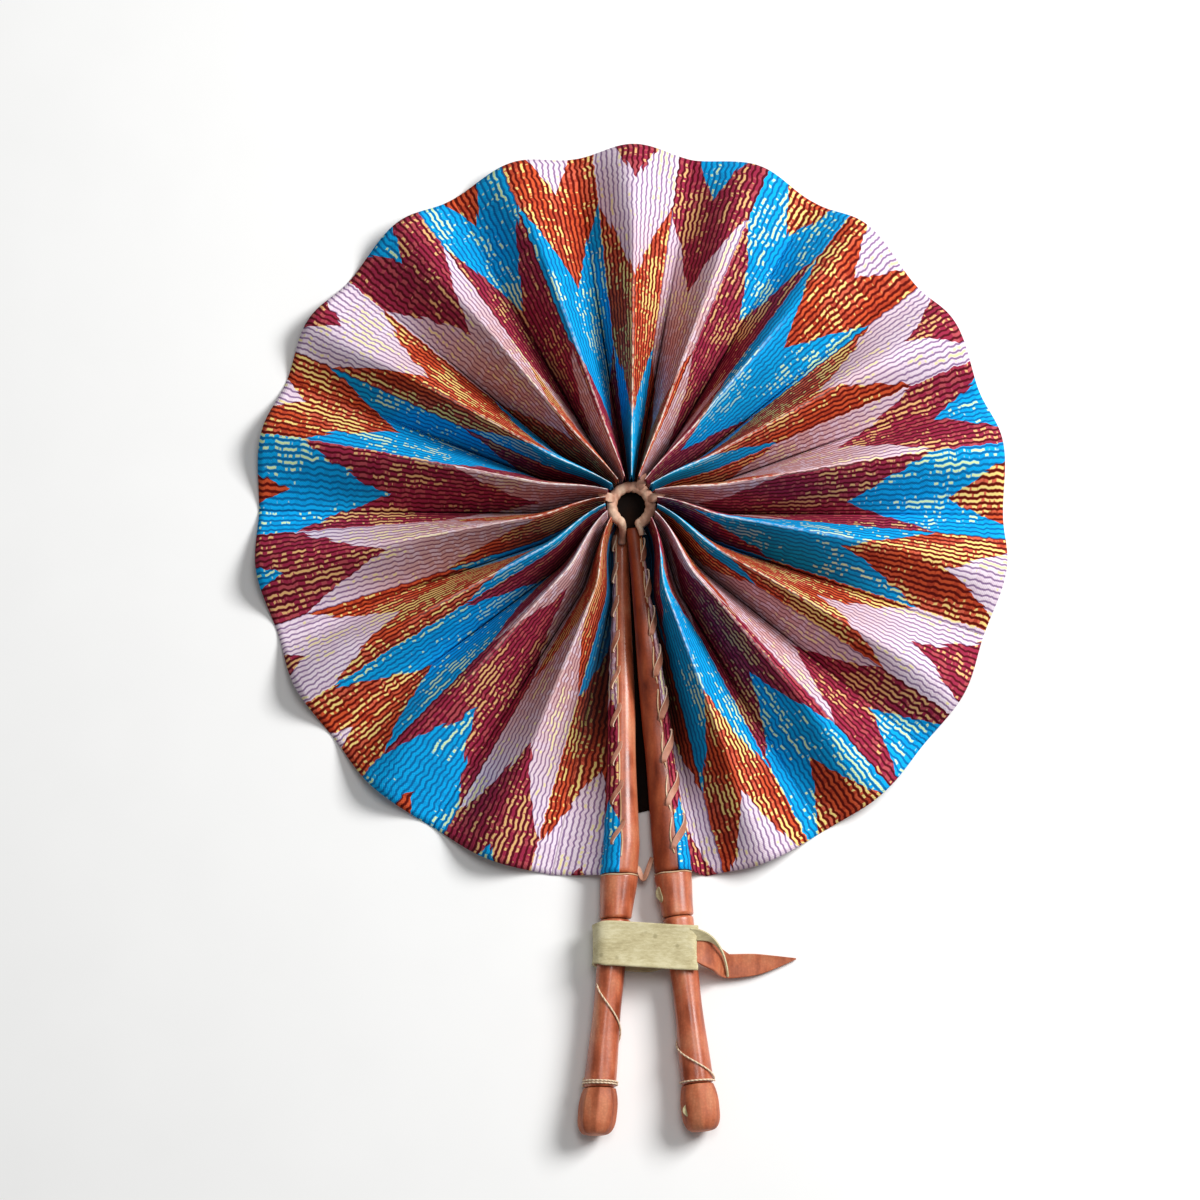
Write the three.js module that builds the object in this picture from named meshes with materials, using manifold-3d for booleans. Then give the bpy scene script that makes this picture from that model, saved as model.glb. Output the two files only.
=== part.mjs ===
// A leather folding fan, opened to a full round and lying on its back.
// A pleated cloth leaf turns about a thong ring at the hub. Each end of the leaf is laced to a
// leather-bound stick, and a leather strap round the two grips holds the fan open.
// Millimetres, +Z up, handles toward -Y, origin under the middle of the fan's box.

import * as THREE from 'three';
import { mergeVertices } from 'three/addons/utils/BufferGeometryUtils.js';
import Module from 'manifold-3d';

const wasm = await Module();
wasm.setup();

// Clearance between pieces that touch on the real fan
const CLEARANCE = 0.3;

// Cloth leaf
const RIM_RADIUS = 136.5;
const LEAF_INNER_RADIUS = 9.4;
const PLEAT_COUNT = 17;
const FIRST_VALLEY_DEGREES = -78.5;
const LAST_VALLEY_DEGREES = 257.7;
const LEAF_MIDDLE_DEGREES = 90;
const GATHER_AT_HUB = 0.7;
const GATHER_REACH = 36;
const RIDGE_HEIGHT_AT_RIM = 9;
const CLOTH_THICKNESS = 0.7;
const FOLD_GAP = 0.4;

// Handle sticks: widths of the bare wood, and where along the handle each width lies
const STICK_TIP_WIDTH = 2.4;
const STICK_SHOULDER_WIDTH = 6.8;
const STICK_RIM_WIDTH = 10.1;
const STICK_NECK_WIDTH = 8.1;
const STICK_WAIST_WIDTH = 7;
const STICK_BUTT_WIDTH = 8.6;
const LEFT_TIP_START = 6;
const RIGHT_TIP_START = 10.4;
const TIP_LENGTH = 36;
const SHOULDER_LENGTH = 36;
const STICK_END_WALL = 4;

// Leather on the handles
const LEATHER_THICKNESS = 1.1;
const COLLAR_THICKNESS = 1.35;
const SHEATH_END = 133;
const COLLAR_LENGTH = 16;
const SLEEVE_LENGTH = 60;
const KNOB_LENGTH = 16.5;
const KNOB_WIDTH = 13.4;
const KNOB_END_WIDTH = 8.5;
const KNOB_SWELL_FROM = 0.3;
const KNOB_SWELL_TO = 0.75;

// How the handles lie
const LEFT_AXIS_OFFSET = -3.4;
const LEFT_GRIP_LEAN_DEGREES = 5.2;
const LEFT_BEND_START = 122;
const RIGHT_LEAN_DEGREES = 6.4;

// Thongs and cords
const LACE_RADIUS = 0.75;
const LACE_STITCHES = 14;
const LACE_MARGIN = 8;
const LACE_LOW_DEGREES = 15;
const LACE_HIGH_DEGREES = 75;
const LACE_CLIMB_SHARE = 0.65;
const BINDING_RADIUS = 0.6;
const BINDING_TURNS = 2;
const BINDING_PITCH = 1.9;
const SPIRAL_RISE = 27;
const SPIRAL_TURNS = 0.9;
const HUB_RING_RADIUS = 7;
const HUB_THONG_RADIUS = 2;
const HUB_RING_START_DEGREES = -48;
const HUB_RING_END_DEGREES = 236;
const HUB_TIE_RADIUS = 0.6;
const HUB_TIE_LENGTH = 7;
const HUB_TIE_VALLEYS = [4, 7, 13];
const TAIL_LACE_RADIUS = 0.6;
const TAIL_LACE_DROP = 4.5;
const TAIL_LACE_TURN_SHARE = 0.45;
const TAIL_LACE_REACH_SHARE = 0.9;

// Strap
const STRAP_WIDTH = 16;
const STRAP_THICKNESS = 1.5;
const STRAP_SLOPE_DEGREES = 4;
const STRAP_END_DEGREES = 34;
const STRAP_NOTCH_WIDTH = 5;
const STRAP_NOTCH_DEPTH = 4.5;
const TAIL_LENGTH = 34;
const TAIL_NECK_WIDTH = 5.5;
const TAIL_BLADE_WIDTH = 9;
const TAIL_TIP_WIDTH = 1.2;
const TAIL_CREST_LIFT = 3;

// Values worked out from the driving dimensions
const PITCH_DEGREES = (LAST_VALLEY_DEGREES - FIRST_VALLEY_DEGREES) / PLEAT_COUNT;
const RIM_HALF_PLEAT = RIM_RADIUS * THREE.MathUtils.degToRad(PITCH_DEGREES / 2) - FOLD_GAP / 2;
const PANEL_WIDTH = Math.hypot(RIM_HALF_PLEAT, RIDGE_HEIGHT_AT_RIM - CLOTH_THICKNESS);
const WRAP = CLEARANCE + LEATHER_THICKNESS;
const COLLAR_START = SHEATH_END + CLEARANCE;
const COLLAR_END = COLLAR_START + COLLAR_LENGTH;
const SLEEVE_START = COLLAR_END + CLEARANCE;
const SLEEVE_END = SLEEVE_START + SLEEVE_LENGTH;
const KNOB_START = SLEEVE_END + CLEARANCE;
const KNOB_END = KNOB_START + KNOB_LENGTH;
const STICK_END = KNOB_END - STICK_END_WALL;
const STRAP_REACH = WRAP + CLEARANCE + STRAP_THICKNESS / 2;
const STRAP_GROUND = CLEARANCE + STRAP_THICKNESS / 2;

// How finely the curved pieces are divided
const RING_SIDES = 12;
const KNOB_SIDES = 8;
const CORD_SIDES = 6;
const THONG_SIDES = 8;
const TIP_SEGMENTS = 3;
const SHOULDER_SEGMENTS = 6;
const BOUND_SEGMENTS = 3;
const COLLAR_SEGMENTS = 3;
const SLEEVE_SEGMENTS = 6;
const STITCH_SEGMENTS = 6;
const TURN_SEGMENTS = 24;
const HUB_RING_SEGMENTS = 15;
const HUB_RING_STEPS = 32;
const SHORT_CORD_STEPS = 10;
const LEAF_RING_SHARES = [0, 0.04, 0.11, 0.22, 0.45, 0.72, 1];
const PLEAT_STEPS = [-1, -2 / 3, -1 / 3, 0, 1 / 3, 2 / 3, 1];

// Heights that follow from the pieces lying on one another
const RING_FLATNESS = Math.cos(Math.PI / RING_SIDES);
const LEFT_TIP_HEIGHT = (STICK_TIP_WIDTH + 2 * WRAP) * RING_FLATNESS;
const LACING_HEIGHT = CLEARANCE + CLOTH_THICKNESS + CLEARANCE + 2 * LACE_RADIUS;
const RIGHT_TIP_RISE = LEFT_TIP_HEIGHT + LACING_HEIGHT + CLEARANCE;
const HUB_RING_HEIGHT = RIGHT_TIP_RISE + LEFT_TIP_HEIGHT + 2 * CLEARANCE + HUB_THONG_RADIUS;
const GRIP_AXIS_HEIGHT = STRAP_GROUND + STRAP_REACH + STICK_NECK_WIDTH / 2;

const radians = THREE.MathUtils.degToRad;
const lerp = THREE.MathUtils.lerp;

// Colour and finish of each material
const LOOKS = {
  wood: { color: 0x9a7048, roughness: 0.75, metalness: 0 },
  leather: { color: 0xa65a3a, roughness: 0.42, metalness: 0 },
  thong: { color: 0xc99a76, roughness: 0.6, metalness: 0 },
  cord: { color: 0xe8cdb0, roughness: 0.8, metalness: 0 },
  suede: { color: 0xc9c79a, roughness: 0.9, metalness: 0 },
  blueCloth: { color: 0x0f8fcf, roughness: 0.85, metalness: 0 },
  wineCloth: { color: 0x5e1226, roughness: 0.85, metalness: 0 },
  lilacCloth: { color: 0xdcc8e0, roughness: 0.85, metalness: 0 },
  orangeCloth: { color: 0xc9501e, roughness: 0.85, metalness: 0 },
};
const LEAF_COLOURS = ['blueCloth', 'wineCloth', 'lilacCloth', 'orangeCloth'];

function piece(name, geometry, look) {
  const mesh = new THREE.Mesh(geometry, new THREE.MeshStandardMaterial(LOOKS[look]));
  mesh.name = name;
  return mesh;
}

// A smooth step from a at x0 to b at x1
function ease(x, x0, x1, a, b) {
  return lerp(a, b, THREE.MathUtils.smoothstep(x, x0, x1));
}

// Builds a geometry from points and triangles, turned so that its faces point outwards
function closedGeometry(points, triangles) {
  const volume = triangles.reduce((sum, [a, b, c]) => {
    return sum + points[a].dot(new THREE.Vector3().crossVectors(points[b], points[c]));
  }, 0);
  const faces = volume > 0 ? triangles : triangles.map(([a, b, c]) => [a, c, b]);
  const geometry = new THREE.BufferGeometry();
  geometry.setFromPoints(points);
  geometry.setIndex(faces.flat());
  geometry.computeVertexNormals();
  return geometry;
}

// A closed skin over a row of rings: a solid bar closed at both ends by a point in the middle of
// its end rings, or, with loop, a tube whose rings run down the inside and back up the outside
function skin(rings, loop = false) {
  const sides = rings[0].length;
  const points = rings.flat();
  const triangles = [];
  const rows = loop ? rings.length : rings.length - 1;
  for (let row = 0; row < rows; row++) {
    const next = (row + 1) % rings.length;
    for (let side = 0; side < sides; side++) {
      const a = row * sides + side;
      const b = row * sides + ((side + 1) % sides);
      const c = next * sides + ((side + 1) % sides);
      const d = next * sides + side;
      triangles.push([a, b, c], [a, c, d]);
    }
  }
  if (!loop) {
    for (const [ring, row] of [[rings[0], 0], [rings.at(-1), rings.length - 1]]) {
      const middle = points.length;
      points.push(ring.reduce((sum, p) => sum.add(p), new THREE.Vector3()).divideScalar(sides));
      for (let side = 0; side < sides; side++) {
        const a = row * sides + side;
        const b = row * sides + ((side + 1) % sides);
        triangles.push(row === 0 ? [middle, b, a] : [middle, a, b]);
      }
    }
  }
  return closedGeometry(points, triangles);
}

// A closed sheet between an upper and a lower grid of points, each a list of rows
function sheet(upper, lower) {
  const rows = upper.length;
  const columns = upper[0].length;
  const points = [...upper.flat(), ...lower.flat()];
  const top = (row, column) => row * columns + column;
  const under = (row, column) => rows * columns + row * columns + column;
  const triangles = [];
  const quad = (a, b, c, d) => triangles.push([a, b, c], [a, c, d]);
  for (let row = 0; row + 1 < rows; row++) {
    for (let column = 0; column + 1 < columns; column++) {
      quad(top(row, column), top(row + 1, column), top(row + 1, column + 1), top(row, column + 1));
      quad(under(row, column), under(row, column + 1), under(row + 1, column + 1), under(row + 1, column));
    }
    const last = columns - 1;
    quad(top(row, 0), under(row, 0), under(row + 1, 0), top(row + 1, 0));
    quad(top(row, last), top(row + 1, last), under(row + 1, last), under(row, last));
  }
  for (let column = 0; column + 1 < columns; column++) {
    const last = rows - 1;
    quad(top(0, column), top(0, column + 1), under(0, column + 1), under(0, column));
    quad(top(last, column), under(last, column), under(last, column + 1), top(last, column + 1));
  }
  return closedGeometry(points, triangles);
}

// A round cord along a smooth curve through points, as one unbroken tube
function cordAlong(points, radius, sides, steps) {
  const corners = Array.from({ length: sides }, (_, side) => {
    const angle = (2 * Math.PI * side) / sides;
    return new THREE.Vector2(radius * Math.cos(angle), radius * Math.sin(angle));
  });
  const extrudePath = new THREE.CatmullRomCurve3(points, false, 'centripetal');
  const settings = { steps, extrudePath, bevelEnabled: false };
  return new THREE.ExtrudeGeometry(new THREE.Shape(corners), settings);
}

// The least gap between stretches of one cord that lie more than a few diameters apart along it
function leastGap(points, radius) {
  const SAMPLES = 600;
  const APART_IN_DIAMETERS = 3;
  const curve = new THREE.CatmullRomCurve3(points, false, 'centripetal');
  const along = curve.getSpacedPoints(SAMPLES);
  const apart = Math.ceil((APART_IN_DIAMETERS * 2 * radius * SAMPLES) / curve.getLength());
  let least = Infinity;
  for (let i = 0; i < along.length; i++) {
    for (let j = i + apart; j < along.length; j++) {
      least = Math.min(least, along[i].distanceTo(along[j]));
    }
  }
  return least - 2 * radius;
}

function toManifold(geometry) {
  const bare = geometry.clone();
  bare.deleteAttribute('normal');
  bare.deleteAttribute('uv');
  const merged = mergeVertices(bare, 1e-4);
  const vertProperties = new Float32Array(merged.attributes.position.array);
  const triVerts = new Uint32Array(merged.index.array);
  return new wasm.Manifold(new wasm.Mesh({ numProp: 3, vertProperties, triVerts }));
}

function fromManifold(solid) {
  const mesh = solid.getMesh();
  const geometry = new THREE.BufferGeometry();
  const places = new Float32Array(mesh.vertProperties);
  geometry.setAttribute('position', new THREE.BufferAttribute(places, 3));
  geometry.setIndex(Array.from(mesh.triVerts));
  geometry.computeVertexNormals();
  return geometry;
}

// The leaf

// Folds run out radially, and near the hub they crowd toward the upper side of the ring
function foldAngle(degrees, radius) {
  const reach = GATHER_REACH - LEAF_INNER_RADIUS;
  const away = THREE.MathUtils.clamp((radius - LEAF_INNER_RADIUS) / reach, 0, 1);
  const gather = 1 - (1 - GATHER_AT_HUB) * (1 - away) ** 2;
  return radians(LEAF_MIDDLE_DEGREES + (degrees - LEAF_MIDDLE_DEGREES) * gather);
}

// A point of the leaf, an arc aside from a fold
function leafPoint(degrees, radius, aside, height) {
  const angle = foldAngle(degrees, radius) + aside / radius;
  return new THREE.Vector3(radius * Math.cos(angle), radius * Math.sin(angle), height);
}

// One pleat: a sharp upright fold at the hub that opens into a soft wave at the rim. The strip's
// panels are equally wide all along, so the ridge stands higher where the folds crowd together.
function pleatGeometry(ridgeDegrees) {
  const upper = [];
  const lower = [];
  for (const away of LEAF_RING_SHARES) {
    const radius = lerp(LEAF_INNER_RADIUS, RIM_RADIUS, away);
    const half = foldAngle(ridgeDegrees + PITCH_DEGREES / 2, radius) - foldAngle(ridgeDegrees, radius);
    const width = radius * half - FOLD_GAP / 2;
    const rise = Math.sqrt(PANEL_WIDTH ** 2 - width ** 2);
    const foot = CLOTH_THICKNESS * Math.tan(Math.atan2(rise, width) / 2);
    const inside = 1 - foot / width;
    const wave = (t) => lerp(1 - Math.abs(t), (1 + Math.cos(Math.PI * t)) / 2, away);
    const place = (aside, lift) => leafPoint(ridgeDegrees, radius, aside, lift);
    upper.push(PLEAT_STEPS.map((t) => place(width * t, CLOTH_THICKNESS + rise * wave(t))));
    lower.push(PLEAT_STEPS.map((t) => place(width * inside * t, rise * inside * wave(t))));
  }
  return sheet(upper, lower);
}

function leafPieces() {
  return Array.from({ length: PLEAT_COUNT }, (_, index) => {
    const ridge = FIRST_VALLEY_DEGREES + (index + 0.5) * PITCH_DEGREES;
    const name = `pleat_${String(index + 1).padStart(2, '0')}`;
    return piece(name, pleatGeometry(ridge), LEAF_COLOURS[index % LEAF_COLOURS.length]);
  });
}

// The handles, each described along its own length from the hub

const TIP_END = RIGHT_TIP_START + TIP_LENGTH;
const SHOULDER_END = TIP_END + SHOULDER_LENGTH;
const WAIST_AT = (SLEEVE_START + SLEEVE_END) / 2;

const STICK_PROFILE = [
  { at: RIGHT_TIP_START, width: STICK_TIP_WIDTH },
  { at: SHOULDER_END, width: STICK_SHOULDER_WIDTH },
  { at: SHEATH_END, width: STICK_RIM_WIDTH },
  { at: COLLAR_END, width: STICK_NECK_WIDTH },
  { at: WAIST_AT, width: STICK_WAIST_WIDTH },
  { at: SLEEVE_END, width: STICK_BUTT_WIDTH },
];

function stickWidth(along) {
  const passed = STICK_PROFILE.findIndex((stop) => along < stop.at);
  const next = passed < 0 ? STICK_PROFILE.length - 1 : Math.max(passed, 1);
  const [from, to] = [STICK_PROFILE[next - 1], STICK_PROFILE[next]];
  return ease(along, from.at, to.at, from.width, to.width);
}

// Height of the stick's axis: the bound part rests on the ground, the grips stand clear of it
function axisHeight(along, tipRise) {
  const resting = (stickWidth(Math.min(along, SHEATH_END)) / 2 + WRAP) * RING_FLATNESS;
  const raised = resting + ease(along, TIP_END, SHOULDER_END, tipRise, 0);
  return ease(along, SHEATH_END, COLLAR_END, raised, GRIP_AXIS_HEIGHT);
}

const LEFT = {
  side: -1,
  start: LEFT_TIP_START,
  tipRise: 0,
  axisOffset: (along) => {
    const past = Math.max(0, along - LEFT_BEND_START);
    return LEFT_AXIS_OFFSET - past * Math.tan(radians(LEFT_GRIP_LEAN_DEGREES));
  },
  toOwnFrame: (point) => point,
};

const UP = new THREE.Vector3(0, 0, 1);
const RIGHT = {
  side: 1,
  start: RIGHT_TIP_START,
  tipRise: RIGHT_TIP_RISE,
  axisOffset: () => 0,
  toOwnFrame: (point) => point.applyAxisAngle(UP, -radians(RIGHT_LEAN_DEGREES)),
};

// Centre lines of the two handles, as seen across the fan at a distance from the hub
const leftAxis = (along) => LEFT.axisOffset(along);
const rightAxis = (along) => along * Math.tan(radians(RIGHT_LEAN_DEGREES));

// A point round the handle, at an angle from its outer side up to its top and a reach from its axis
function handlePoint(handle, along, angle, reach) {
  return new THREE.Vector3(
    handle.axisOffset(along) + handle.side * reach * Math.cos(angle),
    -along,
    axisHeight(along, handle.tipRise) + reach * Math.sin(angle),
  );
}

// Angles of a ring's corners, turned so that one of its flats lies underneath
const ringAngle = (step) => (2 * Math.PI * (step + 0.5)) / RING_SIDES;

// A ring round the stick, cover away from the wood, pressed flat where it meets the ground
function handleRing(handle, along, cover) {
  const reach = stickWidth(along) / 2 + cover;
  return Array.from({ length: RING_SIDES }, (_, step) => {
    const point = handlePoint(handle, along, ringAngle(step), reach);
    point.z = Math.max(point.z, 0);
    return point;
  });
}

function stations(from, to, segments) {
  return Array.from({ length: segments + 1 }, (_, step) => lerp(from, to, step / segments));
}

// Places along the handle where the rings of its covers lie, so that each cover follows the wood
const sheathStations = (handle) => [
  ...stations(handle.start, TIP_END, TIP_SEGMENTS),
  ...stations(TIP_END, SHOULDER_END, SHOULDER_SEGMENTS).slice(1),
  ...stations(SHOULDER_END, SHEATH_END, BOUND_SEGMENTS).slice(1),
];
const COLLAR_STATIONS = stations(COLLAR_START, COLLAR_END, COLLAR_SEGMENTS);
const SLEEVE_STATIONS = stations(SLEEVE_START, SLEEVE_END, SLEEVE_SEGMENTS);

function stickGeometry(handle) {
  const along = [
    handle.start + WRAP,
    ...sheathStations(handle).slice(1),
    ...COLLAR_STATIONS.slice(1),
    ...SLEEVE_STATIONS.slice(1),
    STICK_END,
  ];
  return skin(along.map((a) => handleRing(handle, a, 0)));
}

// Leather wrapped round the stick, open at both ends
function wrapGeometry(handle, along, thickness) {
  const inner = along.map((a) => handleRing(handle, a, CLEARANCE));
  const outer = along.map((a) => handleRing(handle, a, CLEARANCE + thickness));
  return skin([...inner, ...outer.reverse()], true);
}

function knobRing(handle, along, width) {
  return Array.from({ length: KNOB_SIDES }, (_, step) => {
    const angle = (2 * Math.PI * (step + 0.5)) / KNOB_SIDES;
    return handlePoint(handle, along, angle, width / 2 / Math.cos(Math.PI / KNOB_SIDES));
  });
}

// A faceted cap over the end of the stick
function knobGeometry(handle) {
  const mouthWidth = STICK_BUTT_WIDTH + 2 * WRAP;
  const boreWidth = STICK_BUTT_WIDTH + 2 * CLEARANCE;
  const bore = [STICK_END + CLEARANCE, KNOB_START].map((a) => knobRing(handle, a, boreWidth));
  const outside = [
    knobRing(handle, KNOB_START, mouthWidth),
    knobRing(handle, lerp(KNOB_START, KNOB_END, KNOB_SWELL_FROM), KNOB_WIDTH),
    knobRing(handle, lerp(KNOB_START, KNOB_END, KNOB_SWELL_TO), KNOB_WIDTH),
    knobRing(handle, KNOB_END, KNOB_END_WIDTH),
  ];
  return skin([...bore, ...outside]);
}

// The cloth end: a strip lapped over the sheath's outer side, and the panel down to the last fold
function leafEndGeometry(handle, valleyDegrees) {
  const LAP_ANGLES = [2, 1, 0].map(ringAngle);
  const upper = [];
  const lower = [];
  for (const along of sheathStations(handle).slice(1)) {
    const reach = stickWidth(along) / 2 + WRAP + CLEARANCE;
    const lap = (out) => LAP_ANGLES.map((angle) => handlePoint(handle, along, angle, reach + out));
    const edge = -handle.side * FOLD_GAP / 2;
    const foot = edge - handle.side * CLOTH_THICKNESS;
    const fold = (aside, height) => leafPoint(valleyDegrees, along, aside, height);
    upper.push([...lap(CLOTH_THICKNESS), handle.toOwnFrame(fold(edge, CLOTH_THICKNESS))]);
    lower.push([...lap(0), handle.toOwnFrame(fold(foot, 0))]);
  }
  return sheet(upper, lower);
}

// Whip stitches over the cloth end: one thong that climbs slantwise and drops back, again and again
function lacingPoints(handle) {
  const from = handle.start + LACE_MARGIN;
  const stitch = (SHEATH_END - LACE_MARGIN - from) / LACE_STITCHES;
  const cover = WRAP + 2 * CLEARANCE + CLOTH_THICKNESS + LACE_RADIUS;
  const place = (along, degrees) => {
    return handlePoint(handle, along, radians(degrees), stickWidth(along) / 2 + cover);
  };
  const halfway = (LACE_LOW_DEGREES + LACE_HIGH_DEGREES) / 2;
  const points = [];
  for (let index = 0; index < LACE_STITCHES; index++) {
    const low = from + index * stitch;
    points.push(
      place(low, LACE_LOW_DEGREES),
      place(low + stitch * LACE_CLIMB_SHARE / 2, halfway),
      place(low + stitch * LACE_CLIMB_SHARE, LACE_HIGH_DEGREES),
      place(low + stitch * (1 + LACE_CLIMB_SHARE) / 2, halfway),
    );
  }
  return [...points, place(from + LACE_STITCHES * stitch, LACE_LOW_DEGREES)];
}

// Cord wound round the foot of the grip, with a loose spiral that runs up to its tucked end
function bindingPoints(handle) {
  const cover = WRAP + CLEARANCE + BINDING_RADIUS;
  const wound = Math.round(BINDING_TURNS * TURN_SEGMENTS);
  const total = wound + Math.round(SPIRAL_TURNS * TURN_SEGMENTS);
  const foot = SLEEVE_END - BINDING_RADIUS;
  return Array.from({ length: total + 1 }, (_, step) => {
    const turns = step / TURN_SEGMENTS;
    const spiral = Math.max(0, step - wound) / (total - wound);
    const along = foot - Math.min(turns, BINDING_TURNS) * BINDING_PITCH - spiral * SPIRAL_RISE;
    const angle = -handle.side * 2 * Math.PI * turns;
    return handlePoint(handle, along, angle, stickWidth(along) / 2 + cover);
  });
}

function handlePieces(name, handle, valleyDegrees) {
  const lacing = lacingPoints(handle);
  const binding = bindingPoints(handle);
  const lacingGap = leastGap(lacing, LACE_RADIUS).toFixed(2);
  const bindingGap = leastGap(binding, BINDING_RADIUS).toFixed(2);
  console.log(`${name} cords, least gap to themselves: lacing ${lacingGap}, binding ${bindingGap} mm`);
  const lacingSteps = STITCH_SEGMENTS * LACE_STITCHES;
  const sheath = wrapGeometry(handle, sheathStations(handle), LEATHER_THICKNESS);
  const collar = wrapGeometry(handle, COLLAR_STATIONS, COLLAR_THICKNESS);
  const sleeve = wrapGeometry(handle, SLEEVE_STATIONS, LEATHER_THICKNESS);
  return [
    piece(`${name}_stick`, stickGeometry(handle), 'wood'),
    piece(`${name}_sheath`, sheath, 'leather'),
    piece(`${name}_collar`, collar, 'leather'),
    piece(`${name}_grip_sleeve`, sleeve, 'leather'),
    piece(`${name}_knob`, knobGeometry(handle), 'leather'),
    piece(`${name}_leaf_end`, leafEndGeometry(handle, valleyDegrees), 'blueCloth'),
    piece(`${name}_lacing`, cordAlong(lacing, LACE_RADIUS, CORD_SIDES, lacingSteps), 'thong'),
    piece(`${name}_binding`, cordAlong(binding, BINDING_RADIUS, CORD_SIDES, binding.length - 1), 'cord'),
  ];
}

// The hub

// A thong bent into a ring inside the folds, one end brought down onto the left stick's tip
function hubRingPoints() {
  const turn = stations(HUB_RING_START_DEGREES, HUB_RING_END_DEGREES, HUB_RING_SEGMENTS);
  const ring = turn.map((degrees) => {
    const angle = radians(degrees);
    return new THREE.Vector3(
      HUB_RING_RADIUS * Math.cos(angle),
      HUB_RING_RADIUS * Math.sin(angle),
      HUB_RING_HEIGHT,
    );
  });
  const landing = LEFT_TIP_HEIGHT + CLEARANCE;
  const above = ring.at(-1).clone().add(new THREE.Vector3(HUB_THONG_RADIUS / 2, 0, 0));
  const heights = stations(HUB_RING_HEIGHT, landing, TIP_SEGMENTS).slice(1);
  return [...ring, ...heights.map((height) => above.clone().setZ(height))];
}

// A short thong end that lies over the ring and out along one of the valleys
function hubTiePoints(valley) {
  const degrees = FIRST_VALLEY_DEGREES + valley * PITCH_DEGREES;
  const seat = HUB_RING_HEIGHT + HUB_THONG_RADIUS + CLEARANCE + HUB_TIE_RADIUS;
  const arch = 4 * HUB_TIE_RADIUS;
  return [
    leafPoint(degrees, HUB_RING_RADIUS, 0, seat),
    leafPoint(degrees, LEAF_INNER_RADIUS, 0, seat + arch),
    leafPoint(degrees, LEAF_INNER_RADIUS + HUB_TIE_LENGTH / 2, 0, seat + arch),
    leafPoint(degrees, LEAF_INNER_RADIUS + HUB_TIE_LENGTH, 0, seat),
  ];
}

// The loose end of the left lacing, hanging in a V between the handles
function tailLacePoints() {
  const along = SHEATH_END - TAIL_LACE_DROP;
  const reach = stickWidth(along) / 2 + WRAP + CLEARANCE + TAIL_LACE_RADIUS;
  const height = axisHeight(along, 0);
  const from = leftAxis(along) + reach;
  const to = rightAxis(along) - reach / Math.cos(radians(RIGHT_LEAN_DEGREES));
  const turn = lerp(from, to, TAIL_LACE_TURN_SHARE);
  const end = lerp(from, to, TAIL_LACE_REACH_SHARE);
  return [
    new THREE.Vector3(from, -along, height),
    new THREE.Vector3(turn, -along - TAIL_LACE_DROP, height),
    new THREE.Vector3(end, -along, height + TAIL_LACE_RADIUS),
  ];
}

function hubPieces() {
  const shortCord = (points, radius) => cordAlong(points, radius, CORD_SIDES, SHORT_CORD_STEPS);
  const ring = cordAlong(hubRingPoints(), HUB_THONG_RADIUS, THONG_SIDES, HUB_RING_STEPS);
  const ties = HUB_TIE_VALLEYS.map((valley, index) => {
    return piece(`hub_tie_${index + 1}`, shortCord(hubTiePoints(valley), HUB_TIE_RADIUS), 'thong');
  });
  return [
    piece('hub_ring', ring, 'thong'),
    ...ties,
    piece('tail_lace', shortCord(tailLacePoints(), TAIL_LACE_RADIUS), 'thong'),
  ];
}

// The strap

const STRAP_SPAN = rightAxis(SLEEVE_START) - leftAxis(SLEEVE_START);
const STRAP_FALL = STRAP_SPAN * Math.tan(radians(STRAP_SLOPE_DEGREES));
const STRAP_MIDDLE = SLEEVE_START + CLEARANCE + STRAP_WIDTH / 2 + STRAP_FALL;

// The strap's tail: how far along its length each stop lies, how high, and how wide the strip is
const TAIL_CREST = GRIP_AXIS_HEIGHT + TAIL_CREST_LIFT;
const TAIL_STOPS = [
  { share: 0.04, height: GRIP_AXIS_HEIGHT + 0.6 * TAIL_CREST_LIFT, width: TAIL_NECK_WIDTH },
  { share: 0.1, height: TAIL_CREST, width: TAIL_NECK_WIDTH },
  { share: 0.22, height: GRIP_AXIS_HEIGHT + 0.5 * TAIL_CREST_LIFT, width: TAIL_NECK_WIDTH },
  { share: 0.45, height: lerp(STRAP_GROUND, GRIP_AXIS_HEIGHT, 0.5), width: TAIL_BLADE_WIDTH },
  { share: 0.7, height: lerp(STRAP_GROUND, GRIP_AXIS_HEIGHT, 0.15), width: TAIL_BLADE_WIDTH * 0.8 },
  { share: 1, height: STRAP_GROUND, width: TAIL_TIP_WIDTH },
];

// Angles round a grip where the strap's stops lie: the top, the underside and the tail's way out
const STRAP_TOP_DEGREES = 90;
const STRAP_UNDER_DEGREES = 270;
const STRAP_EXIT_DEGREES = 350;
const STRAP_END_SEGMENTS = 3;
const STRAP_ROUND_SEGMENTS = 7;
const STRAP_EXIT_SEGMENTS = 4;

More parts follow.
